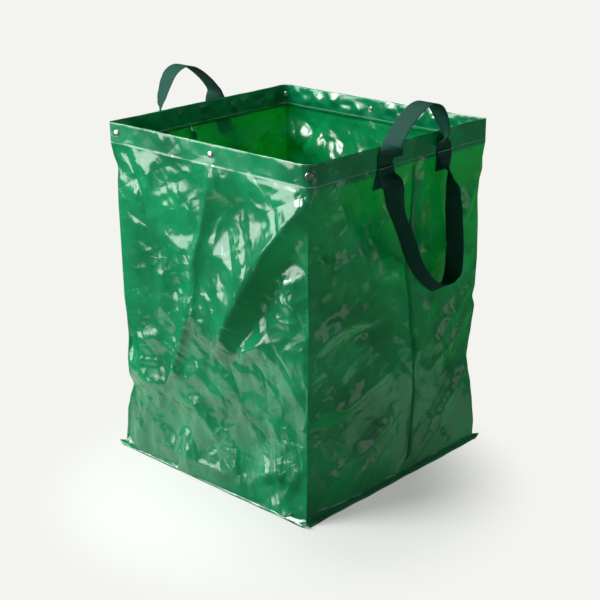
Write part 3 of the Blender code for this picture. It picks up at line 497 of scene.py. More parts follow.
def beside_line(across, up, points):
    """Distance from a line of points, whether above it, and a taper to nothing at its ends."""
    points = np.array(points)
    steps = np.hypot(*np.diff(points, axis=0).T)
    nearest = np.full_like(across, np.inf)
    place = np.zeros_like(across)
    above = np.zeros_like(across, dtype=bool)
    for index, step in enumerate(steps):
        start, along = points[index], points[index + 1] - points[index]
        from_start = (across - start[0], up - start[1])
        share = (from_start[0] * along[0] + from_start[1] * along[1]) / (step * step)
        share = np.clip(share, 0.0, 1.0)
        distance = np.hypot(from_start[0] - share * along[0], from_start[1] - share * along[1])
        side = (along[0] * from_start[1] - along[1] * from_start[0]) * (1 if along[0] > 0 else -1)
        closer = distance < nearest
        nearest = np.where(closer, distance, nearest)
        above = np.where(closer, side > 0, above)
        place = np.where(closer, steps[:index].sum() + share * step, place)
    taper = np.sqrt(np.clip(np.sin(math.pi * place / steps.sum()), 0.0, 1.0))
    return nearest, above, taper


def add_crease(lift, across, up, points, height, width):
    """Raise a cusp along a line of points."""
    distance, _, taper = beside_line(across, up, points)
    lift += height * taper * np.exp(-distance / width)


def add_tent(lift, across, up, points, height, above_reach, below_reach):
    """Raise a ridge with two straight slopes, one above its line and one below."""
    distance, above, taper = beside_line(across, up, points)
    reach = np.where(above, above_reach, below_reach)
    lift += height * taper * np.clip(1 - distance / reach, 0.0, 1.0)


def line_about(middle, turn, half):
    """The two ends of a straight line through its middle."""
    step = (half * math.cos(turn), half * math.sin(turn))
    return [(middle[0] + way * step[0], middle[1] + way * step[1]) for way in (-1, 1)]


def small_creases(sheet):
    """Random short creases on the flat sheet, as (points, height, width)."""
    dice = random.Random(sheet["seed"])
    lines = []
    for _ in range(SMALL_CREASES):
        middle = (dice.uniform(0.0, SHEET_WIDTH),
                  dice.uniform(SMALL_CREASE_MARGIN, WALL_HEIGHT - SMALL_CREASE_MARGIN))
        line = line_about(middle, dice.gauss(math.pi / 2, 0.9), dice.uniform(12, 50) * MM)
        height = dice.choice((-1, 1)) * dice.uniform(0.3, 1.0) * SMALL_CREASE_LIFT
        lines.append((line, height, dice.uniform(3, 6) * MM))
    return lines


print("creases per sheet:", SMALL_CREASES)

# %% [markdown]
# Each sheet is one grid, cut to columns and rows that fall on the corners, the stitch line and the
# rim, so that those folds are clean. Rows stand 4 mm apart on the wall and closer in the turn.

# %% Rows and columns
GRID_STEP = 4 * MM
CREASE_STEP = 1.5 * MM
CREASE_REACH = 6 * MM


def spread(low, high, step):
    """Evenly spread values from low to high, no further apart than a step, without the first."""
    count = max(1, math.ceil((high - low) / step - 1e-6))
    return [between(low, high, index / count) for index in range(1, count + 1)]


def sheet_columns():
    """Places across the sheet, closer together at corners and seams."""
    places = [-SEAM_ALLOWANCE]
    for stop, step in (
            (0.0, GRID_STEP), (CREASE_REACH, CREASE_STEP),
            (FIRST_CORNER - CREASE_REACH, GRID_STEP), (FIRST_CORNER, CREASE_STEP),
            (FIRST_CORNER + CREASE_REACH, CREASE_STEP),
            (SECOND_CORNER - RIVETED_CORNER_RADIUS, GRID_STEP), (SECOND_CORNER, 2 * CREASE_STEP),
            (SECOND_CORNER + RIVETED_CORNER_RADIUS, 2 * CREASE_STEP),
            (SHEET_WIDTH - CREASE_REACH, GRID_STEP), (SHEET_WIDTH, CREASE_STEP),
            (SHEET_WIDTH + SEAM_ALLOWANCE, GRID_STEP)):
        places += spread(places[-1], stop, step)
    return places


def sheet_rows():
    """Places up the sheet: flange, wall, hem, turn at the rim, inner hem and its raw edge."""
    places = [-FLANGE]
    for stop, step in (
            (0.0, GRID_STEP), (WALL_HEIGHT, GRID_STEP), (RIM, GRID_STEP),
            (RIM + TURN_LENGTH, TURN_LENGTH / 5),
            (INNER_STITCH_UP, GRID_STEP), (INNER_STITCH_UP + HEM_TUCK, GRID_STEP)):
        places += spread(places[-1], stop, step)
    return places


columns, rows = sheet_columns(), sheet_rows()
print("grid:", len(columns), "columns by", len(rows), "rows")

# %% [markdown]
# The lift of every grid point is worked out on the flat sheet as one array. Rays bring in the
# solids' folds, a few passes of averaging take the facets' hardness away, and the creases go on
# top. At corners, seams, flange and hem the lift fades out. The film is also kept flat behind
# the handles' sewn feet, where it could otherwise poke through the webbing.

# %% Lift of the film
RAY_START = 45 * MM
SMOOTHING = 10
VALLEY_SHARE = 0.45
FACET_LAYERS = [(80 * MM, 7.5 * MM), (34 * MM, 0.9 * MM)]
FACET_STRAY = 0.45
CALM_PATCHES = 120 * MM
CALM_SHARE, CALM_SWING, CALM_LEAST = 0.55, 0.7, 0.15
SEAM_GROOVE = 6.0 * MM
SEAM_GROOVE_WIDTH = 4 * MM
SEAM_GROOVE_FADE = 20 * MM
CARRY_TAIL = 37 * MM
# over what distance the folds fade out at a corner, at the foot, at the hem and at the end seams
CORNER_FADE, FOOT_FADE, HEM_FADE, SEAM_FADE = 10 * MM, 5 * MM, 10 * MM, 8 * MM
CORNER_REMAINS = 1 * MM


def solid_tree(name):
    """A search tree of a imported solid's faces."""
    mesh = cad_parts[name].data
    corners = [vertex.co.copy() for vertex in mesh.vertices]
    return BVHTree.FromPolygons(corners, [tuple(face.vertices) for face in mesh.polygons])


def fade(distance, reach):
    """0 at a line and 1 from `reach` on, for an array of distances."""
    share = np.clip(distance / reach, 0.0, 1.0)
    return share * share * (3 - 2 * share)


def solids_lift(sheet, plans):
    """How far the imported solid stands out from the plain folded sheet, by rays."""
    tree = solid_tree(sheet["node"])
    turn = TURNS[sheet["turned"]]
    lift = np.zeros((len(rows), len(columns)))
    for row, up in enumerate(rows):
        if not 0.0 < up < WALL_HEIGHT:
            continue
        for column, across in enumerate(columns):
            if not 0.0 <= across <= SHEET_WIDTH:
                continue
            point, outward = fold_point(sheet, plans[row], across, up, 0.0)
            outward.normalize()
            start = turn @ (point + outward * RAY_START)
            hit = tree.ray_cast(start, turn.to_3x3() @ -outward, 2 * RAY_START)
            if hit[0] is not None:
                lift[row, column] = RAY_START - hit[3] - FILM / 2
    return lift


def smoothed(lift):
    """Average each value with its neighbours a few times."""
    for _ in range(SMOOTHING):
        padded = np.pad(lift, 1, mode="edge")
        lift = (padded[:-2, 1:-1] + 2 * lift + padded[2:, 1:-1]) / 4
        padded = np.pad(lift, 1, mode="edge")
        lift = (padded[1:-1, :-2] + 2 * lift + padded[1:-1, 2:]) / 4
    return lift


def facet_layer(dice, spacing, height):
    """Random flat facets over a sheet: scattered points of random height, joined up."""
    places, lifts = [], []
    for row in range(-1, int(WALL_HEIGHT / spacing) + 2):
        for column in range(-1, int(SHEET_WIDTH / spacing) + 2):
            places.append(Vector([(cell + dice.uniform(-FACET_STRAY, FACET_STRAY)) * spacing / MM
                                  for cell in (column, row)]))
            lifts.append(dice.uniform(-1.0, 1.0) * height)
    spots, _, facets, sources, _, _ = delaunay_2d_cdt(places, [], [], 0, 0.001)
    corners = [(spot.x * MM, spot.y * MM, lifts[source[0]])
               for spot, source in zip(spots, sources)]
    tree = BVHTree.FromPolygons(corners, facets)
    down = Vector((0, 0, -1))
    layer = np.zeros((len(rows), len(columns)))
    for row, up in enumerate(rows):
        for column, across in enumerate(columns):
            hit = tree.ray_cast(Vector((across, up, 1.0)), down)
            if hit[0] is not None:
                layer[row, column] = hit[0].z
    return layer


def film_lift(sheet, plans):
    """Lift of each grid point of a sheet."""
    across, up = np.meshgrid(np.array(columns), np.array(rows))
    folded = solids_lift(sheet, plans)
    folded = np.where(folded < 0, VALLEY_SHARE * folded, folded)
    lift = np.maximum(folded, smoothed(folded))
    dice = random.Random(100 + sheet["seed"])
    patches = CALM_SHARE + facet_layer(dice, CALM_PATCHES, CALM_SWING)
    liveliness = np.clip(patches, CALM_LEAST, 1.0)
    for spacing, height in FACET_LAYERS:
        lift += facet_layer(dice, spacing, height) * liveliness
    creases = np.zeros_like(lift)
    for line in small_creases(sheet):
        add_crease(creases, across, up, *line)
    for wall, points, height, width in SHARP_FOLDS[sheet["name"]]:
        add_crease(creases, across, up, on_sheet(wall, points), height * MM, width * MM)
    for wall, points, height, above, below in BROAD_FOLDS[sheet["name"]]:
        add_tent(creases, across, up, on_sheet(wall, points), height * MM, above * MM, below * MM)
    lift += creases
    for corner in (FIRST_CORNER, SECOND_CORNER):
        lift *= fade(abs(across - corner) + CORNER_REMAINS, CORNER_FADE)
    lift *= fade(up, FOOT_FADE) * fade(WALL_HEIGHT - up, HEM_FADE)
    from_start, from_end = across, SHEET_WIDTH - across
    lift *= fade(from_start, SEAM_FADE) * fade(from_end, SEAM_FADE)
    curl = 2 - fade(from_start, SEAM_GROOVE_WIDTH) - fade(from_end, SEAM_GROOVE_WIDTH)
    ends = fade(up - SEAM_END_SPACE, SEAM_GROOVE_FADE) * fade(WALL_HEIGHT - up, SEAM_GROOVE_FADE)
    lift -= SEAM_GROOVE * curl * ends
    for foot in HANDLE_FEET:
        behind = (abs(across - foot) < WEBBING_WIDTH * 0.75) & (up > WALL_HEIGHT - 1.4 * CARRY_TAIL)
        lift = np.where(behind, np.minimum(lift, 0.0), lift)
    return lift


# %% [markdown]
# The hem's inner layer has more film than it needs, so it lies in small triangular folds, most of
# all along the back of the bag. Only inward folds are allowed, because the batten is behind it.

# %% Inner hem folds
INNER_FOLD = {"front": 4.0 * MM, "back": 7.0 * MM}
INNER_FOLD_LENGTH = 50 * MM
# the zigzags that make the folds: how deep, how long, and how far each slants over the hem
ZIGZAGS = [(1.0, 1.0, 0.9), (0.6, 0.57, -1.0)]


def zigzag(turns):
    """An even zigzag between -1 and 1, one stroke for each whole turn."""
    return math.asin(math.sin(math.pi * turns)) * 2 / math.pi


def inner_hem_lift(sheet, across, up):
    """Inward folds of the hem's inner layer: a zigzag of ridges, none at the rim and stitches."""
    depth = (up - RIM - TURN_LENGTH) / (HEM_HEIGHT - HEM_TURN)
    if not 0.0 < depth < 1.0:
        return 0.0
    swing = sum(share * zigzag(across / (length * INNER_FOLD_LENGTH) + slant * depth)
                for share, length, slant in ZIGZAGS)
    most = sum(share for share, _, _ in ZIGZAGS)
    amount = abs(swing) / most * min(1.0, 3 * depth, 3 * (1 - depth))
    return -INNER_FOLD[sheet["name"]] * amount * stillness(across)


# %% [markdown]
# Now the sheets themselves. A flat grid is made, the parts of the seam allowance that the real cut
# leaves away are deleted, the rivet holes are opened, and every vertex is carried to its place.
# The flat coordinates are kept as a UV map, since a pattern in the film follows the film.

# %% Make the wall sheets
RIVET_HOLE = 3.4 * MM
HEM_MIDDLE = BAG_HEIGHT - HEM_HEIGHT / 2 - FLANGE_LEVEL


def flat_grid(columns, rows, uv_name):
    """A flat grid on the given columns and rows, and (vertex, column, row) for each vertex."""
    shape = bmesh.new()
    steps = len(columns) - 1, len(rows) - 1
    bmesh.ops.create_grid(shape, x_segments=steps[0], y_segments=steps[1], size=0.5)
    cells = []
    for vertex in shape.verts:
        column, row = [round((place + 0.5) * count) for place, count in zip(vertex.co, steps)]
        cells.append((vertex, column, row))
        vertex.co = (columns[column], rows[row], 0.0)
    layer = shape.loops.layers.uv.new(uv_name)
    for face in shape.faces:
        for loop in face.loops:
            loop[layer].uv = loop.vert.co.xy
    return shape, cells


def new_piece(name, shape, slot, *nodes):
    """Make a finished bmesh a piece of the bag that stands for the named CAD nodes."""
    mesh = bpy.data.meshes.new(name)
    shape.to_mesh(mesh)
    shape.free()
    mesh.shade_smooth()
    piece = bpy.data.objects.new(name, mesh)
    bpy.context.scene.collection.objects.link(piece)
    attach(piece, "root")
    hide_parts(*nodes)
    return piece


def add_thickness(piece, thickness):
    """Give a sheet its thickness, half on each side."""
    solidify = piece.modifiers.new("thickness", "SOLIDIFY")
    solidify.thickness = thickness
    solidify.offset = 0.0


def is_cut_away(across, up):
    """Whether a face of the flat grid is outside the cut, or in a rivet hole."""
    if not 0.0 < across < SHEET_WIDTH:
        return not SEAM_END_SPACE < up < WALL_HEIGHT - SEAM_END_SPACE
    mirrored = 2 * RIM + TURN_LENGTH - up
    for place in RIVET_PLACES.values():
        for level in (up, mirrored):
            if math.hypot(across - place, level - HEM_MIDDLE) < RIVET_HOLE:
                return True
    return False


def make_sheet(sheet):
    """One sheet of film, cut, creased and folded into place."""
    shape, cells = flat_grid(columns, rows, "cut")
    plans = [plan_at(sheet, max(section_at(up)[0], FLANGE_LEVEL)) for up in rows]
    lift = film_lift(sheet, plans)
    waste = [face for face in shape.faces if is_cut_away(*face.calc_center_median().xy)]
    turn = TURNS[sheet["turned"]]
    for vertex, column, row in cells:
        across, up = columns[column], rows[row]
        raised = lift[row, column] + inner_hem_lift(sheet, across, up)
        vertex.co = turn @ fold_point(sheet, plans[row], across, up, raised)[0]
    bmesh.ops.delete(shape, geom=waste, context="FACES")
    bmesh.ops.recalc_face_normals(shape, faces=shape.faces)
    piece = new_piece(sheet["name"] + "_film", shape, "film", sheet["node"])
    add_thickness(piece, FILM)
    return piece


films = [make_sheet(sheet) for sheet in SHEETS]
print("film faces:", [len(piece.data.polygons) for piece in films])

# %% [markdown]
# The battens are thin plastic strips in the hem. They stay hidden, but they follow the hem's wave
# so that the film never touches them.

# %% Battens
BATTEN_STEP = 6 * MM
BATTEN_START = RIVET_PLACES["left"] - 9 * MM
BATTEN_END = SECOND_CORNER + RIVETED_CORNER_RADIUS + 20 * MM


def make_batten(sheet):
    """The strip inside the hem of one long side."""
    places = [BATTEN_START] + spread(BATTEN_START, BATTEN_END, BATTEN_STEP)
    middle = (WALL_HEIGHT + RIM) / 2
    levels = [middle + BATTEN_HEIGHT * (index / 4 - 0.5) for index in range(5)]
    shape, cells = flat_grid(places, levels, "cut")
    turn = TURNS[sheet["turned"]]
    for vertex, column, row in cells:
        vertex.co = turn @ film_place(sheet, places[column], levels[row], -HEM_TURN)[0]
    for place in RIVET_PLACES.values():
        hub = turn @ film_place(sheet, place, HEM_MIDDLE, -HEM_TURN)[0]
        near = [face for face in shape.faces
                if (face.calc_center_median() - hub).length < 2 * RIVET_HOLE]
        bmesh.ops.delete(shape, geom=near, context="FACES")
    bmesh.ops.recalc_face_normals(shape, faces=shape.faces)
    name = sheet["name"] + "_rim_strip"
    piece = new_piece(name, shape, "batten", sheet["name"] + "_rim_batten")
    add_thickness(piece, BATTEN)
    return piece


battens = [make_batten(sheet) for sheet in SHEETS]
print("battens:", [piece.name for piece in battens])

# %% [markdown]
# The base is a square sheet. It lies on the floor, rolls up to the foot seam and goes on as a
# drooping flange, under the flange of the walls. At the four corners both flanges stand up as
# small ears, as they do where a stiff film has been sewn and turned.

# %% Base sheet
BASE_ROLL = 36 * MM
BASE_WRINKLES = 70
WRINKLE_AREA = 200 * MM
WRINKLE_SEED = 31
WRINKLE_FADE = 40 * MM


def base_places(half):
    """Grid lines across the base, closer together in the rolled edge and the flange."""
    reach = FLANGE * math.cos(FLANGE_DROOP)
    places = [0.0] + spread(0.0, half - BASE_ROLL, 2 * GRID_STEP)
    places += spread(places[-1], half, GRID_STEP)
    places += spread(places[-1], half + reach, reach / 3)
    return [-place for place in reversed(places[1:])] + places


def base_height(x, y):
    """Height of the base sheet at a place in plan."""
    outward = max(abs(x) - FOOT_LENGTH / 2, abs(y) - FOOT_DEPTH / 2)
    if outward > 0:
        return BASE_RIDGE - outward * math.tan(FLANGE_DROOP) + flange_lift(x, y)
    rise = max(1 + outward / BASE_ROLL, 0.0)
    return FILM / 2 + (BASE_RIDGE - FILM / 2) * rise ** 2


def base_wrinkles(x, y):
    """Low wrinkles of the floor sheet, as an array, none near its sewn edge."""
    dice = random.Random(WRINKLE_SEED)
    lift = np.zeros_like(x)
    for _ in range(BASE_WRINKLES):
        middle = [dice.uniform(-WRINKLE_AREA, WRINKLE_AREA) for _ in range(2)]
        line = line_about(middle, dice.uniform(0, math.pi), dice.uniform(20, 90) * MM)
        add_crease(lift, x, y, line, dice.uniform(0.5, 3.0) * MM, dice.uniform(6, 16) * MM)
    inward = np.minimum(FOOT_LENGTH / 2 - abs(x), FOOT_DEPTH / 2 - abs(y))
    return lift * fade(inward, WRINKLE_FADE)


def make_base():
    """The floor sheet of film."""
    wide, deep = base_places(FOOT_LENGTH / 2), base_places(FOOT_DEPTH / 2)
    shape, cells = flat_grid(wide, deep, "cut")
    lift = base_wrinkles(*np.meshgrid(np.array(wide), np.array(deep)))
    for vertex, column, row in cells:
        vertex.co.z = base_height(wide[column], deep[row]) + lift[row, column]
    bmesh.ops.recalc_face_normals(shape, faces=shape.faces)
    piece = new_piece("base_film", shape, "film", "base_panel")
    add_thickness(piece, FILM)
    return piece


base = make_base()
print("base faces:", len(base.data.polygons))

# %% [markdown]
# The handles are flat webbing, each loop one strip that leaves the wall on one foot, turns its
# width outwards and comes back on the other. Each stop gives the place along the loop, the height
# as a share of its reach, the turn of the width away from the wall, and the tip of its outer edge.

# %% Webbing loops
WEBBING = 1.5 * MM
WEBBING_STANDOFF = 2 * MM
RIGHT_CARRY_RISE = 101 * MM
LEFT_CARRY_RISE = 110 * MM
TIPPING_DROP = 245 * MM
LAYER = (FILM + WEBBING) / 2 + CLEARANCE
TIPPING_LAYER = LAYER + WEBBING + CLEARANCE
CARRY_STOPS = [
    (-1.07, -0.16, 0, 0), (-1.0, 0.01, 0, 0), (-1.0, 0.11, 0, 0), (-1.0, 0.16, 10, 0),
    (-1.05, 0.27, 50, 0), (-1.10, 0.43, 86, 0), (-0.95, 0.58, 90, 0), (-0.76, 0.72, 90, 0),
    (-0.50, 0.87, 90, 0), (-0.25, 0.97, 90, 0), (0.02, 1.0, 90, 0), (0.27, 0.93, 92, 0),
    (0.44, 0.79, 97, 0), (0.60, 0.57, 106, 0), (0.71, 0.41, 118, 0), (0.78, 0.29, 138, 0),
    (0.91, 0.18, 170, 0), (1.0, 0.11, 180, 0), (1.0, 0.01, 180, 0), (0.98, -0.16, 180, 0),
]
TIPPING_STOPS = [
    (-1.0, 0.01, 0, 0), (-1.0, -0.04, 3, 0), (-1.03, -0.10, 45, 0), (-1.05, -0.17, 84, 0),
    (-0.96, -0.30, 90, 0), (-0.74, -0.43, 90, 0), (-0.53, -0.57, 90, 0), (-0.37, -0.69, 90, 2),
    (-0.07, -0.83, 90, 6), (0.25, -0.93, 90, 15), (0.63, -1.0, 90, 30), (0.93, -0.98, 90, 24),
    (1.08, -0.89, 90, 8), (1.10, -0.69, 90, 0), (1.04, -0.45, 93, 0), (1.0, -0.27, 104, 0),
    (0.96, -0.155, 132, 0), (0.98, -0.08, 168, 0), (1.0, -0.035, 180, 0), (1.0, 0.01, 180, 0),
]
SAMPLES_A_STOP = 20
STRIP_STEP = 5 * MM
STRIP_COLUMNS = 6


def smooth_stop(stops, position):
    """Values of a loop's stops at a position, smooth in place and steady in turn and tip."""
    index = min(int(position), len(stops) - 2)
    share = position - index
    picks = [stops[min(max(index + step, 0), len(stops) - 1)] for step in (-1, 0, 1, 2)]
    values = []
    for a, b, c, d in list(zip(*picks))[:2]:
        values.append(0.5 * (2 * b + (c - a) * share + (2 * a - 5 * b + 4 * c - d) * share ** 2
                             + (3 * b - a - 3 * c + d) * share ** 3))
    ease = share * share * (3 - 2 * share)
    for b, c in list(zip(picks[1], picks[2]))[2:]:
        values.append(between(b, c, ease))
    return values


def lengthen_feet(stops, more):
    """Carry both feet further down the wall, each the way it already slants."""
    longer = []
    for foot, before in ((stops[0], stops[1]), (stops[-1], stops[-2])):
        slant = (foot[0] - before[0]) / (before[1] - foot[1])
        longer.append((foot[0] + slant * more, foot[1] - more, *foot[2:]))
    return [longer[0]] + stops + [longer[1]]


def strip_row(stop, reach, layer):
    """Middle of the strip at a stop, and the vector from it to one edge."""
    along, rise, turn, tip = stop
    turn, tip = math.radians(turn), math.radians(tip)
    away = math.sin(turn)
    side = Vector((away * math.cos(tip), math.cos(turn) * math.cos(tip), math.sin(tip)))
    side *= WEBBING_WIDTH / 2
    return Vector((
        BAG_LENGTH / 2 + layer + WEBBING_STANDOFF * away + side.x * (away > 0),
        SEAM_OFFSET + along * HANDLE_SPACING / 2,
        STITCH_HEIGHT + rise * reach,
    )), side


def strip_rows(stops, reach, layer, tail):
    """Evenly spaced rows of a loop, each its length so far, its middle and its half width."""
    if tail:
        stops = lengthen_feet(stops, tail / reach)
    samples = SAMPLES_A_STOP * (len(stops) - 1)
    fine, length = [], 0.0
    for index in range(samples + 1):
        middle, side = strip_row(smooth_stop(stops, index / SAMPLES_A_STOP), reach, layer)
        length += (middle - fine[-1][1]).length if fine else 0.0
        fine.append((length, middle, side))
    count = math.ceil(length / STRIP_STEP)
    marks = [row[0] for row in fine]
    even = []
    for index in range(count + 1):
        goal = length * index / count
        after = min(max(int(np.searchsorted(marks, goal)), 1), samples)
        low, high = fine[after - 1], fine[after]
        share = (goal - low[0]) / (high[0] - low[0])
        even.append((goal, low[1].lerp(high[1], share), low[2].lerp(high[2], share)))
    return even


def make_loop(end, kind, stops, reach, layer, tail, turned):
    """One loop of webbing."""
    route = strip_rows(stops, reach, layer, tail)
    half = WEBBING_WIDTH / 2
    places = [-half] + spread(-half, half, WEBBING_WIDTH / STRIP_COLUMNS)
    shape, cells = flat_grid(places, [row[0] for row in route], "weave")
    turn = TURNS[turned]
    for vertex, column, row in cells:
        _, middle, side = route[row]
        vertex.co = turn @ (middle + side * places[column] / half)
    bmesh.ops.recalc_face_normals(shape, faces=shape.faces)
    name = end + "_" + kind
    piece = new_piece(name + "_strap", shape, "webbing", name + "_loop")
    add_thickness(piece, WEBBING)
    soften = piece.modifiers.new("soft edges", "BEVEL")
    soften.width = WEBBING / 3
    soften.segments = 2
    soften.limit_method = "ANGLE"
    return piece, route[-1][0]


straps = []
for end, rise, turned in (("right", RIGHT_CARRY_RISE, False), ("left", LEFT_CARRY_RISE, True)):
    straps.append(make_loop(end, "carry", CARRY_STOPS, rise, LAYER, CARRY_TAIL / 2, turned))
    straps.append(make_loop(end, "tipping", TIPPING_STOPS, TIPPING_DROP, TIPPING_LAYER, 0.0,
                            turned))
print("webbing lengths in mm:", [round(length / MM) for _, length in straps])

# %% [markdown]
# Rivets. A cap with a shank is pressed through both layers of the hem and the batten, and a washer
# holds it inside. Each is an outline spun about its own axis, then set square on the film.

# %% Rivets and washers
CAP_RADIUS = 6 * MM
CAP_EDGE = 0.8 * MM
CAP_HEIGHT = 2.2 * MM
SHANK_RADIUS = 2.5 * MM
SHANK_TAIL = 0.5 * MM
WASHER_RADIUS = 5 * MM
WASHER = 0.8 * MM
WASHER_SOFTNESS = 0.25 * MM
RIVET_SIDES = 40
# the cap's dished middle, in shares of its radius and height
CAP_DISH = [(0.45, 0.93), (0.0, 0.86)]


def hem_frame(sheet, across):
    """A place on the hem's outer layer, half way up, with Z square to the film."""
    step = HEM_HEIGHT / 4
    upward = film_place(sheet, across, HEM_MIDDLE + step)[0]
    upward -= film_place(sheet, across, HEM_MIDDLE - step)[0]
    along = film_place(sheet, across + step, HEM_MIDDLE)[0]
    along -= film_place(sheet, across - step, HEM_MIDDLE)[0]
    turn = along.cross(upward).to_track_quat("Z", "Y")
    place = film_place(sheet, across, HEM_MIDDLE)[0]
    return TURNS[sheet["turned"]] @ Matrix.Translation(place) @ turn.to_matrix().to_4x4()


def corner_sagitta():
    """How far a washer stands off where the hem's inner face is curved."""
    inner = RIVETED_CORNER_RADIUS - HEM_ROOM - 1.5 * FILM
    return inner - math.sqrt(inner ** 2 - WASHER_RADIUS ** 2)


def spun(outline, place):
    """A bmesh of an outline of (radius, height), spun about Z and moved to a place."""
    shape = bmesh.new()
    rim = [shape.verts.new((radius, 0, height)) for radius, height in outline]
    edges = [shape.edges.new(pair) for pair in zip(rim, rim[1:] + rim[:1])]
    bmesh.ops.spin(shape, geom=rim + edges, cent=(0, 0, 0), axis=(0, 0, 1), angle=math.tau,
                   steps=RIVET_SIDES, use_merge=True)
    bmesh.ops.remove_doubles(shape, verts=shape.verts, dist=0.01 * MM)
    loose = [edge for edge in shape.edges if not edge.link_faces]
    bmesh.ops.delete(shape, geom=loose, context="EDGES")
    bmesh.ops.recalc_face_normals(shape, faces=shape.faces)
    shape.transform(place)
    return shape


def rivet_outline():
    """Section of a cap with its shank. Height zero is the middle of the film's outer layer."""
    seat = FILM / 2 + CLEARANCE
    tail = -(HEM_ROOM + 1.5 * FILM + CLEARANCE + corner_sagitta() + WASHER + SHANK_TAIL)
    dome = [(CAP_RADIUS * math.cos(a), seat + CAP_EDGE + (CAP_HEIGHT - CAP_EDGE) * math.sin(a))
            for a in (math.radians(turn) for turn in range(0, 90, 15))]
    dish = [(out * CAP_RADIUS, seat + rise * CAP_HEIGHT) for out, rise in CAP_DISH]
    return [(0, tail), (SHANK_RADIUS, tail), (SHANK_RADIUS, seat), (CAP_RADIUS, seat)] + dome + dish


def washer_outline(stand_off):
    """Section of a washer against the hem's inner face."""
    top = -(HEM_ROOM + 1.5 * FILM + CLEARANCE + stand_off)
    hole, rim, soft = SHANK_RADIUS + CLEARANCE, WASHER_RADIUS, WASHER_SOFTNESS
    return [(hole, top), (hole, top - WASHER), (rim - soft, top - WASHER),
            (rim, top - WASHER + soft), (rim, top)]


metal_pieces = []
for sheet in SHEETS:
    for spot, across in RIVET_PLACES.items():
        place = hem_frame(sheet, across)
        name = sheet["name"] + "_" + spot
        stand_off = corner_sagitta() if spot == "corner" else 0.0
        cap = new_piece(name + "_cap", spun(rivet_outline(), place), "rivet", name + "_rivet")
        ring = new_piece(name + "_ring", spun(washer_outline(stand_off), place), "rivet",
                         name + "_washer")
        metal_pieces += [cap, ring]
for piece in metal_pieces:
    piece.data.set_sharp_from_angle(angle=math.radians(35))
print("metal pieces:", len(metal_pieces))

# %% [markdown]
# One line of lockstitch holds the hem down and the handles on. Each stitch is a tiny stretched
# ball that lies on the film, and where it crosses a strap it lies on the strap. Real stitches are
# used here rather than a bump, since they catch the light one by one.

# %% Stitches
STITCH = 3.6 * MM
STITCH_PITCH = 4.6 * MM
THREAD = 0.9 * MM


def over_strap(across):
    """Whether a handle's foot lies on the film here."""
    return any(abs(across - foot) < WEBBING_WIDTH / 2 for foot in HANDLE_FEET)


def make_stitches(sheet, name, up, side):
    """A row of stitches along a sheet, outside (side 1) or inside (side -1)."""
    shape = bmesh.new()
    turn = TURNS[sheet["turned"]]
    across = STITCH_PITCH / 2
    while across < SHEET_WIDTH:
        lift = FILM / 2 + THREAD / 4
        if side > 0 and over_strap(across):
            lift = TIPPING_LAYER + WEBBING / 2 + THREAD / 4
        ends = [film_place(sheet, across + way * STITCH / 2, up, side * lift)[0] for way in (-1, 1)]
        along = ends[1] - ends[0]
        size = Matrix.Diagonal((THREAD, THREAD, along.length, 1.0))
        place = Matrix.Translation((ends[0] + ends[1]) / 2)
        aim = along.to_track_quat("Z", "Y").to_matrix().to_4x4()
        bmesh.ops.create_uvsphere(shape, u_segments=6, v_segments=4, radius=0.5,
                                  matrix=turn @ place @ aim @ size)
        across += STITCH_PITCH
    return new_piece(sheet["name"] + name, shape, "thread")


threads = []
for sheet in SHEETS:
    threads.append(make_stitches(sheet, "_outer_stitches", WALL_HEIGHT, 1))
    threads.append(make_stitches(sheet, "_inner_stitches", INNER_STITCH_UP, -1))
print("stitch rows:", [len(piece.data.polygons) for piece in threads])

# %% [markdown]
# The finishes come next. Each is a small web of nodes, and a node is always made in the same way:
# its settings are set, and its inputs are given a value or a link. So that is written once here.
# What is left of each finish is a short list of nodes that reads in the order it is looked up.

# %% Material helpers
def add_node(tree, kind, inputs, output=0, **settings):
    """Add a shader node, set or link its inputs, and give back one of its outputs."""
    node = tree.nodes.new("ShaderNode" + kind)
    for name, setting in settings.items():
        setattr(node, name, setting)
    for name, value in inputs.items():
        if isinstance(value, bpy.types.NodeSocket):
            tree.links.new(value, node.inputs[name])
        else:
            node.inputs[name].default_value = value
    return node.outputs[output]


def show(tree, shader, output="OutputMaterial"):
    """Send a shader to the output of a material or of the world."""
    tree.links.new(shader, tree.nodes.new("ShaderNode" + output).inputs["Surface"])


def new_material(name):
    """A material without nodes, and its node tree."""
    material = bpy.data.materials.new(name)
    material.use_nodes = True
    material.node_tree.nodes.clear()
    return material, material.node_tree


def new_group(name, inputs, outputs):
    """A node group with the named sockets, and the inner ends of its inputs and outputs."""
    group = bpy.data.node_groups.new(name, "ShaderNodeTree")
    for in_out, sockets in (("INPUT", inputs), ("OUTPUT", outputs)):
        for socket, kind in sockets.items():
            group.interface.new_socket(socket, in_out=in_out, socket_type="NodeSocket" + kind)
    given, result = group.nodes.new("NodeGroupInput"), group.nodes.new("NodeGroupOutput")
    return group, given.outputs, result.inputs


def calculate(tree, operation, first, second):
    """The value of a maths node."""
    return add_node(tree, "Math", {0: first, 1: second}, operation=operation)


def noise(tree, vector, scale, detail):
    """A noise texture's value."""
    return add_node(tree, "TexNoise", {"Vector": vector, "Scale": scale, "Detail": detail}, "Fac")


def ramp(tree, value, stops):
    """A colour ramp on a value, with two stops of a position and a colour."""
    colour = add_node(tree, "ValToRGB", {"Fac": value}, "Color")
    for element, (position, stop) in zip(colour.node.color_ramp.elements, stops):
        element.position = position
        element.color = (*stop, 1.0)
    return colour


def bump(tree, height, strength, distance, **under):
    """A bump from a height, on top of another Normal if one is given."""
    return add_node(tree, "Bump", {"Height": height, "Strength": strength, "Distance": distance,
                                   **under})


print("material helpers:", add_node.__name__, show.__name__, new_group.__name__)

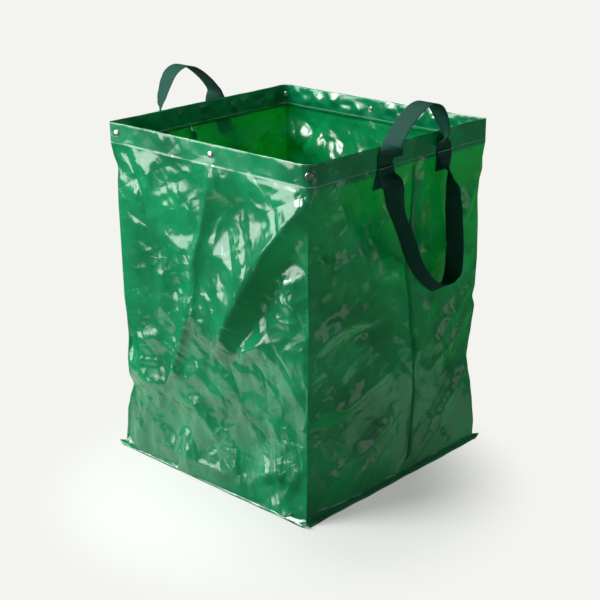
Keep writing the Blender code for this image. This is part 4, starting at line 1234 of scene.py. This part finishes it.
# %% [markdown]
# Crumpled film breaks into flat facets with sharp lines between them. The distance to the nearest
# edge of a Voronoi cell rises evenly from every edge, so as a height it gives just such facets. It
# is a node group, so that it can be laid over itself at three sizes, each stretched another way.

# %% Crumple, a pattern of small flat facets
CRUMPLE_STRAY = 6 * MM
STRAYS_PER_METRE = 30


def strayed(tree, vector, scale, amount):
    """A place that wanders by up to half the amount each way, as a noise says."""
    noise_colour = add_node(tree, "TexNoise", {"Vector": vector, "Scale": scale, "Detail": 2},
                            "Color")
    centred = add_node(tree, "VectorMath", {0: noise_colour, 1: (0.5, 0.5, 0.5)},
                       operation="SUBTRACT")
    pushed = add_node(tree, "VectorMath", {0: centred, "Scale": amount}, operation="SCALE")
    return add_node(tree, "VectorMath", {0: vector, 1: pushed}, operation="ADD")


def edge_distance(tree, vector, scale):
    """Distance to the nearest edge of a flat web of cells, as a share of a cell's size."""
    return add_node(tree, "TexVoronoi", {"Vector": vector, "Scale": scale}, "Distance",
                    voronoi_dimensions="2D", feature="DISTANCE_TO_EDGE")


def crumple_group():
    """Height of small facets over a flat sheet in metres, longer along X by 1 / Stretch."""
    group, given, result = new_group(
        "crumple",
        {"Vector": "Vector", "Scale": "Float", "Tilt": "Float", "Turn": "Float",
         "Stretch": "Float"},
        {"Height": "Float"})
    place = strayed(group, given["Vector"], STRAYS_PER_METRE, CRUMPLE_STRAY)
    turned = add_node(group, "VectorRotate", {"Vector": place, "Angle": given["Turn"]},
                      rotation_type="Z_AXIS")
    ways = add_node(group, "CombineXYZ", {"X": given["Stretch"], "Y": 1.0})
    drawn = add_node(group, "VectorMath", {0: turned, 1: ways}, operation="MULTIPLY")
    distance = edge_distance(group, drawn, given["Scale"])
    rise = calculate(group, "DIVIDE", distance, given["Scale"])
    group.links.new(calculate(group, "MULTIPLY", rise, given["Tilt"]), result["Height"])
    return group


CRUMPLE = crumple_group()
print("crumple inputs:", [item.name for item in CRUMPLE.interface.items_tree])

# %% [markdown]
# Film material. Polyethylene film is glossy and a little see-through: light that falls on one side
# glows on the other. So a Principled shader gives the gloss, and a Translucent one added to it
# gives the glow. The crumple lies on the flat cut, so that it follows the folds. It comes and goes
# in patches, because film is never creased evenly, and the doubled hem shows less of it.

# %% Film material
FILM_ROUGHNESS = 0.2
FILM_IOR = 1.7
FILM_GREEN = [(0.32, (0.001, 0.082, 0.035)), (0.68, (0.002, 0.158, 0.066))]
FILM_GLOW = (0.016, 0.27, 0.006, 1.0)
PATCHES = [(0.42, (0.25, 0.25, 0.25)), (0.62, (1.0, 1.0, 1.0))]
HEM_PATCHES = 0.55
PATCH_FADE = 2 * MM
# layers of crumple: cells per metre, tilt, turn in degrees and stretch
FILM_CRUMPLE = [(13, 0.19, 52, 0.32), (27, 0.11, -28, 0.28), (62, 0.05, 74, 0.3)]
LINES_PER_METRE = 15
LINE_WIDTH = 1.6 * MM


def crease_lines(tree, vector):
    """1 on a net of thin wandering lines, and 0 between them."""
    place = strayed(tree, vector, 1.3 * LINES_PER_METRE, 0.5 / LINES_PER_METRE)
    distance = edge_distance(tree, place, LINES_PER_METRE)
    width = LINE_WIDTH * LINES_PER_METRE
    return add_node(tree, "MapRange",
                    {"Value": distance, "From Max": width, "To Min": 1.0, "To Max": 0.0},
                    interpolation_type="SMOOTHSTEP")


def crumple_share(tree, flat):
    """Where the film is crumpled, in patches, and less so from the stitch line up."""
    patches = ramp(tree, noise(tree, flat, 14, 2), PATCHES)
    height = add_node(tree, "SeparateXYZ", {"Vector": flat}, "Y")
    below_hem = add_node(tree, "MapRange", {
        "Value": height, "From Min": WALL_HEIGHT - PATCH_FADE,
        "From Max": WALL_HEIGHT + PATCH_FADE, "To Min": 1.0, "To Max": HEM_PATCHES})
    return calculate(tree, "MULTIPLY", patches, below_hem)


def film_normal(tree, flat):
    """Three layers of crumple, a net of fine crease lines, and the ripple of blown film."""
    share = crumple_share(tree, flat)
    total = 0.0
    for scale, tilt, turn, stretch in FILM_CRUMPLE:
        layer = add_node(tree, "Group", {
            "Vector": flat, "Scale": scale, "Tilt": tilt, "Turn": math.radians(turn),
            "Stretch": stretch}, node_tree=CRUMPLE)
        total = calculate(tree, "ADD", total, layer)
    facets = bump(tree, calculate(tree, "MULTIPLY", total, share), 1.0, 1.0)
    lines = calculate(tree, "MULTIPLY", crease_lines(tree, flat), share)
    creased = bump(tree, lines, 0.5, 0.4 * MM, Normal=facets)
    return bump(tree, noise(tree, flat, 130, 3), 0.08, 0.7 * MM, Normal=creased)


def film_material():
    """Glossy green film that lets some light through."""
    material, tree = new_material("green film")
    flat = add_node(tree, "UVMap", {}, uv_map="cut")
    colour = ramp(tree, noise(tree, flat, 9, 4), FILM_GREEN)
    gloss = add_node(tree, "BsdfPrincipled", {
        "Base Color": colour, "Roughness": FILM_ROUGHNESS, "IOR": FILM_IOR,
        "Normal": film_normal(tree, flat)})
    glow = add_node(tree, "BsdfTranslucent", {"Color": FILM_GLOW})
    show(tree, add_node(tree, "AddShader", {0: gloss, 1: glow}))
    return material


def dress(pieces, material):
    """Give each piece one material."""
    for piece in pieces:
        piece.data.materials.clear()
        piece.data.materials.append(material)


dress(films + [base], film_material())
print("film dressed:", [piece.name for piece in films + [base]])

# %% [markdown]
# The handles are woven from dull dark yarn. Two waves crossed at right angles, along the strip and
# across it, give the ribs. They colour it and dent it, and the gloss is kept low.

# %% Webbing material
WEBBING_GREEN = [(0.2, (0.001, 0.030, 0.020)), (0.8, (0.004, 0.085, 0.058))]
YARNS = {"X": 2.2 * MM, "Y": 1.6 * MM}


def webbing_material():
    """Matt dark green webbing with a rib across it."""
    material, tree = new_material("dark green webbing")
    flat = add_node(tree, "UVMap", {}, uv_map="weave")
    waves = [add_node(tree, "TexWave", {"Vector": flat, "Scale": 2 / (math.tau * width),
                                        "Distortion": 0.4}, "Fac", bands_direction=way)
             for way, width in YARNS.items()]
    weave = calculate(tree, "MULTIPLY", *waves)
    show(tree, add_node(tree, "BsdfPrincipled", {
        "Base Color": ramp(tree, weave, WEBBING_GREEN), "Roughness": 0.7,
        "Specular IOR Level": 0.2, "Normal": bump(tree, weave, 0.7, 0.5 * MM)}))
    return material


dress([piece for piece, _ in straps], webbing_material())
print("webbing dressed:", len(straps), "straps")

# %% [markdown]
# Rivets are plated steel, handled and a little dull, so a fine grain varies colour and roughness.
# The hidden strips and the thread take the same grain with other values, so it is a node group.

# %% Metal, plastic and thread
def grain_group():
    """A fine noise as a mask, a roughness that it varies, and a shallow bump of it."""
    group, given, result = new_group(
        "grain", {"Vector": "Vector", "Scale": "Float", "Roughness": "Float"},
        {"Mask": "Float", "Roughness": "Float", "Normal": "Vector"})
    mask = noise(group, given["Vector"], given["Scale"], 4)
    spread_out = add_node(group, "MapRange", {"Value": mask, "To Min": 0.7, "To Max": 1.3})
    outputs = {"Mask": mask, "Normal": bump(group, mask, 0.15, 0.1 * MM),
               "Roughness": calculate(group, "MULTIPLY", spread_out, given["Roughness"])}
    for name, value in outputs.items():
        group.links.new(value, result[name])
    return group


def plain_material(name, low, high, roughness, metallic, scale):
    """A material whose colour and roughness vary a little with a fine grain."""
    material, tree = new_material(name)
    place = add_node(tree, "TexCoord", {}, "Object")
    grain = add_node(tree, "Group", {"Vector": place, "Scale": scale, "Roughness": roughness},
                     node_tree=GRAIN).node.outputs
    show(tree, add_node(tree, "BsdfPrincipled", {
        "Base Color": ramp(tree, grain["Mask"], [(0.3, low), (0.7, high)]),
        "Metallic": metallic, "Roughness": grain["Roughness"], "Normal": grain["Normal"]}))
    return material


GRAIN = grain_group()
for pieces, look in (
        (metal_pieces, ("pale rivet metal", (0.74, 0.73, 0.66), (0.90, 0.89, 0.82), 0.3, 1.0, 900)),
        (battens, ("batten plastic", (0.02, 0.03, 0.02), (0.03, 0.04, 0.03), 0.5, 0.0, 400)),
        (threads, ("pale green thread", (0.22, 0.44, 0.35), (0.36, 0.60, 0.50), 0.6, 0.0, 2500))):
    dress(pieces, plain_material(*look))
print("materials:", [material.name for material in bpy.data.materials])

# %% [markdown]
# The studio. The floor melts into a surround of the same near white, so no horizon shows. A key
# light high at the front left shades the folds, and a wide low panel under it is what the film
# mirrors as highlights. A lamp over the mouth makes the end wall glow from inside, and weak ones
# above and at the right keep the shadows open. In the film's reflections the floor is not lit but
# glows: a painted pool of light close by on the left, painted shadow of the bag close by on the
# right, and nearly black further off.

# %% Floor and world
FLOOR_SIZE = 40.0
SURROUND = (0.896, 0.905, 0.871, 1.0)
FLOOR_COLOUR = (0.68, 0.70, 0.685, 1.0)
FLOOR_GLOW = 0.35
# how bright the floor glows in the film's reflections: far off, close by on the right (painted
# shadow of the bag), close by on the left (painted light)
MIRRORED_FLOOR = (0.05, 0.36, 1.05)
# rounds on the floor: their middle, and the distances at which they begin and end to fade
SHADOW_ROUND = ((0.1, -0.15, 0), 0.22, 0.48)
# the next two rounds place the painted light (left) and the painted shadow (right) that the film
# mirrors
PAINTED_LIGHT_ROUND = ((-0.28, -0.36, 0), 0.18, 0.40)
PAINTED_SHADOW_ROUND = ((0.45, 0.22, 0), 0.05, 0.32)
# how bright the surround is as a light, in reflections and to the camera
SURROUND_LOOKS = (0.17, 0.05, 1.0)
bpy.context.scene.view_settings.view_transform = "Standard"


def mix_shaders(tree, share, first, second):
    """A mix of two shaders by a share."""
    return add_node(tree, "MixShader", {0: share, 1: first, 2: second})


def past_round(tree, middle, near, far):
    """0 inside a round on the floor and 1 outside it."""
    place = add_node(tree, "TexCoord", {}, "Object")
    distance = add_node(tree, "VectorMath", {0: place, 1: middle}, "Value", operation="DISTANCE")
    return add_node(tree, "MapRange", {"Value": distance, "From Min": near, "From Max": far},
                    interpolation_type="SMOOTHSTEP")


def floor_material():
    """A pale table that melts into the surround; in reflections it glows with painted light close by
    on the left and painted shadow close by on the right.
    """
    material, tree = new_material("pale floor")
    table = add_node(tree, "BsdfPrincipled", {"Base Color": FLOOR_COLOUR, "Roughness": 0.7,
                                              "Specular IOR Level": 0.2})
    glow, faint, dim, bright = [
        add_node(tree, "Emission", {"Color": SURROUND, "Strength": strength})
        for strength in (1.0, *MIRRORED_FLOOR)]
    table = mix_shaders(tree, FLOOR_GLOW, table, glow)
    seen = mix_shaders(tree, past_round(tree, *SHADOW_ROUND), table, glow)
    # painted shadow: the mirrored floor is dimmer close by on the right, where the bag's shadow
    # falls
    right = mix_shaders(tree, past_round(tree, *PAINTED_SHADOW_ROUND), dim, faint)
    # painted light: the mirrored floor is a bright pool close by on the left
    mirrored = mix_shaders(tree, past_round(tree, *PAINTED_LIGHT_ROUND), bright, right)
    is_mirrored = add_node(tree, "LightPath", {}, "Is Glossy Ray")
    show(tree, mix_shaders(tree, is_mirrored, seen, mirrored))
    return material


def make_floor():
    """A large floor under the bag."""
    shape = bmesh.new()
    bmesh.ops.create_grid(shape, x_segments=4, y_segments=4, size=FLOOR_SIZE / 2)
    mesh = bpy.data.meshes.new("floor")
    shape.to_mesh(mesh)
    shape.free()
    floor = bpy.data.objects.new("floor", mesh)
    bpy.context.scene.collection.objects.link(floor)
    dress([floor], floor_material())


def make_world():
    """White to the camera, dim as a light, and nearly black in reflections."""
    world = bpy.data.worlds.new("studio")
    bpy.context.scene.world = world
    world.use_nodes = True
    tree = world.node_tree
    tree.nodes.clear()
    lit, mirrored, seen = [
        add_node(tree, "Background", {"Color": SURROUND, "Strength": strength})
        for strength in SURROUND_LOOKS]
    unseen = mix_shaders(tree, add_node(tree, "LightPath", {}, "Is Glossy Ray"), lit, mirrored)
    both = mix_shaders(tree, add_node(tree, "LightPath", {}, "Is Camera Ray"), unseen, seen)
    show(tree, both, "OutputWorld")


make_floor()
make_world()
print("stage:", bpy.context.scene.world.name, "and a floor", FLOOR_SIZE, "m wide")

# %% [markdown]
# Five soft lamps, as squares and oblongs of light. Only the key and the low panel are strong. The
# fill hangs above, the mouth lamp shines into the bag, and the side lamp opens the shadow there.

# %% Lights
LIGHT_AIM = Vector((0.0, 0.0, 0.3))
# each lamp's place, size and power
LIGHTS = {
    "key": ((-1.15, -1.95, 2.1), (1.4, 1.4), 104),
    "panel": ((-1.55, -1.7, 0.89), (1.9, 1.2), 37),
    "fill": ((-0.4, -0.6, 2.8), (2.0, 2.0), 8),
    "mouth": ((-0.22, -0.05, 1.5), (0.4, 0.4), 7),
    "side": ((2.4, 0.5, 0.55), (2.0, 0.8), 3),
}
for name, (place, size, power) in LIGHTS.items():
    data = bpy.data.lights.new(name, "AREA")
    data.shape = "RECTANGLE"
    data.size, data.size_y = size
    data.energy = power
    light = bpy.data.objects.new(name, data)
    light.location = place
    light.rotation_euler = (LIGHT_AIM - Vector(place)).to_track_quat("-Z", "Y").to_euler()
    bpy.context.scene.collection.objects.link(light)
print("lights:", {name: power for name, (_, _, power) in LIGHTS.items()})
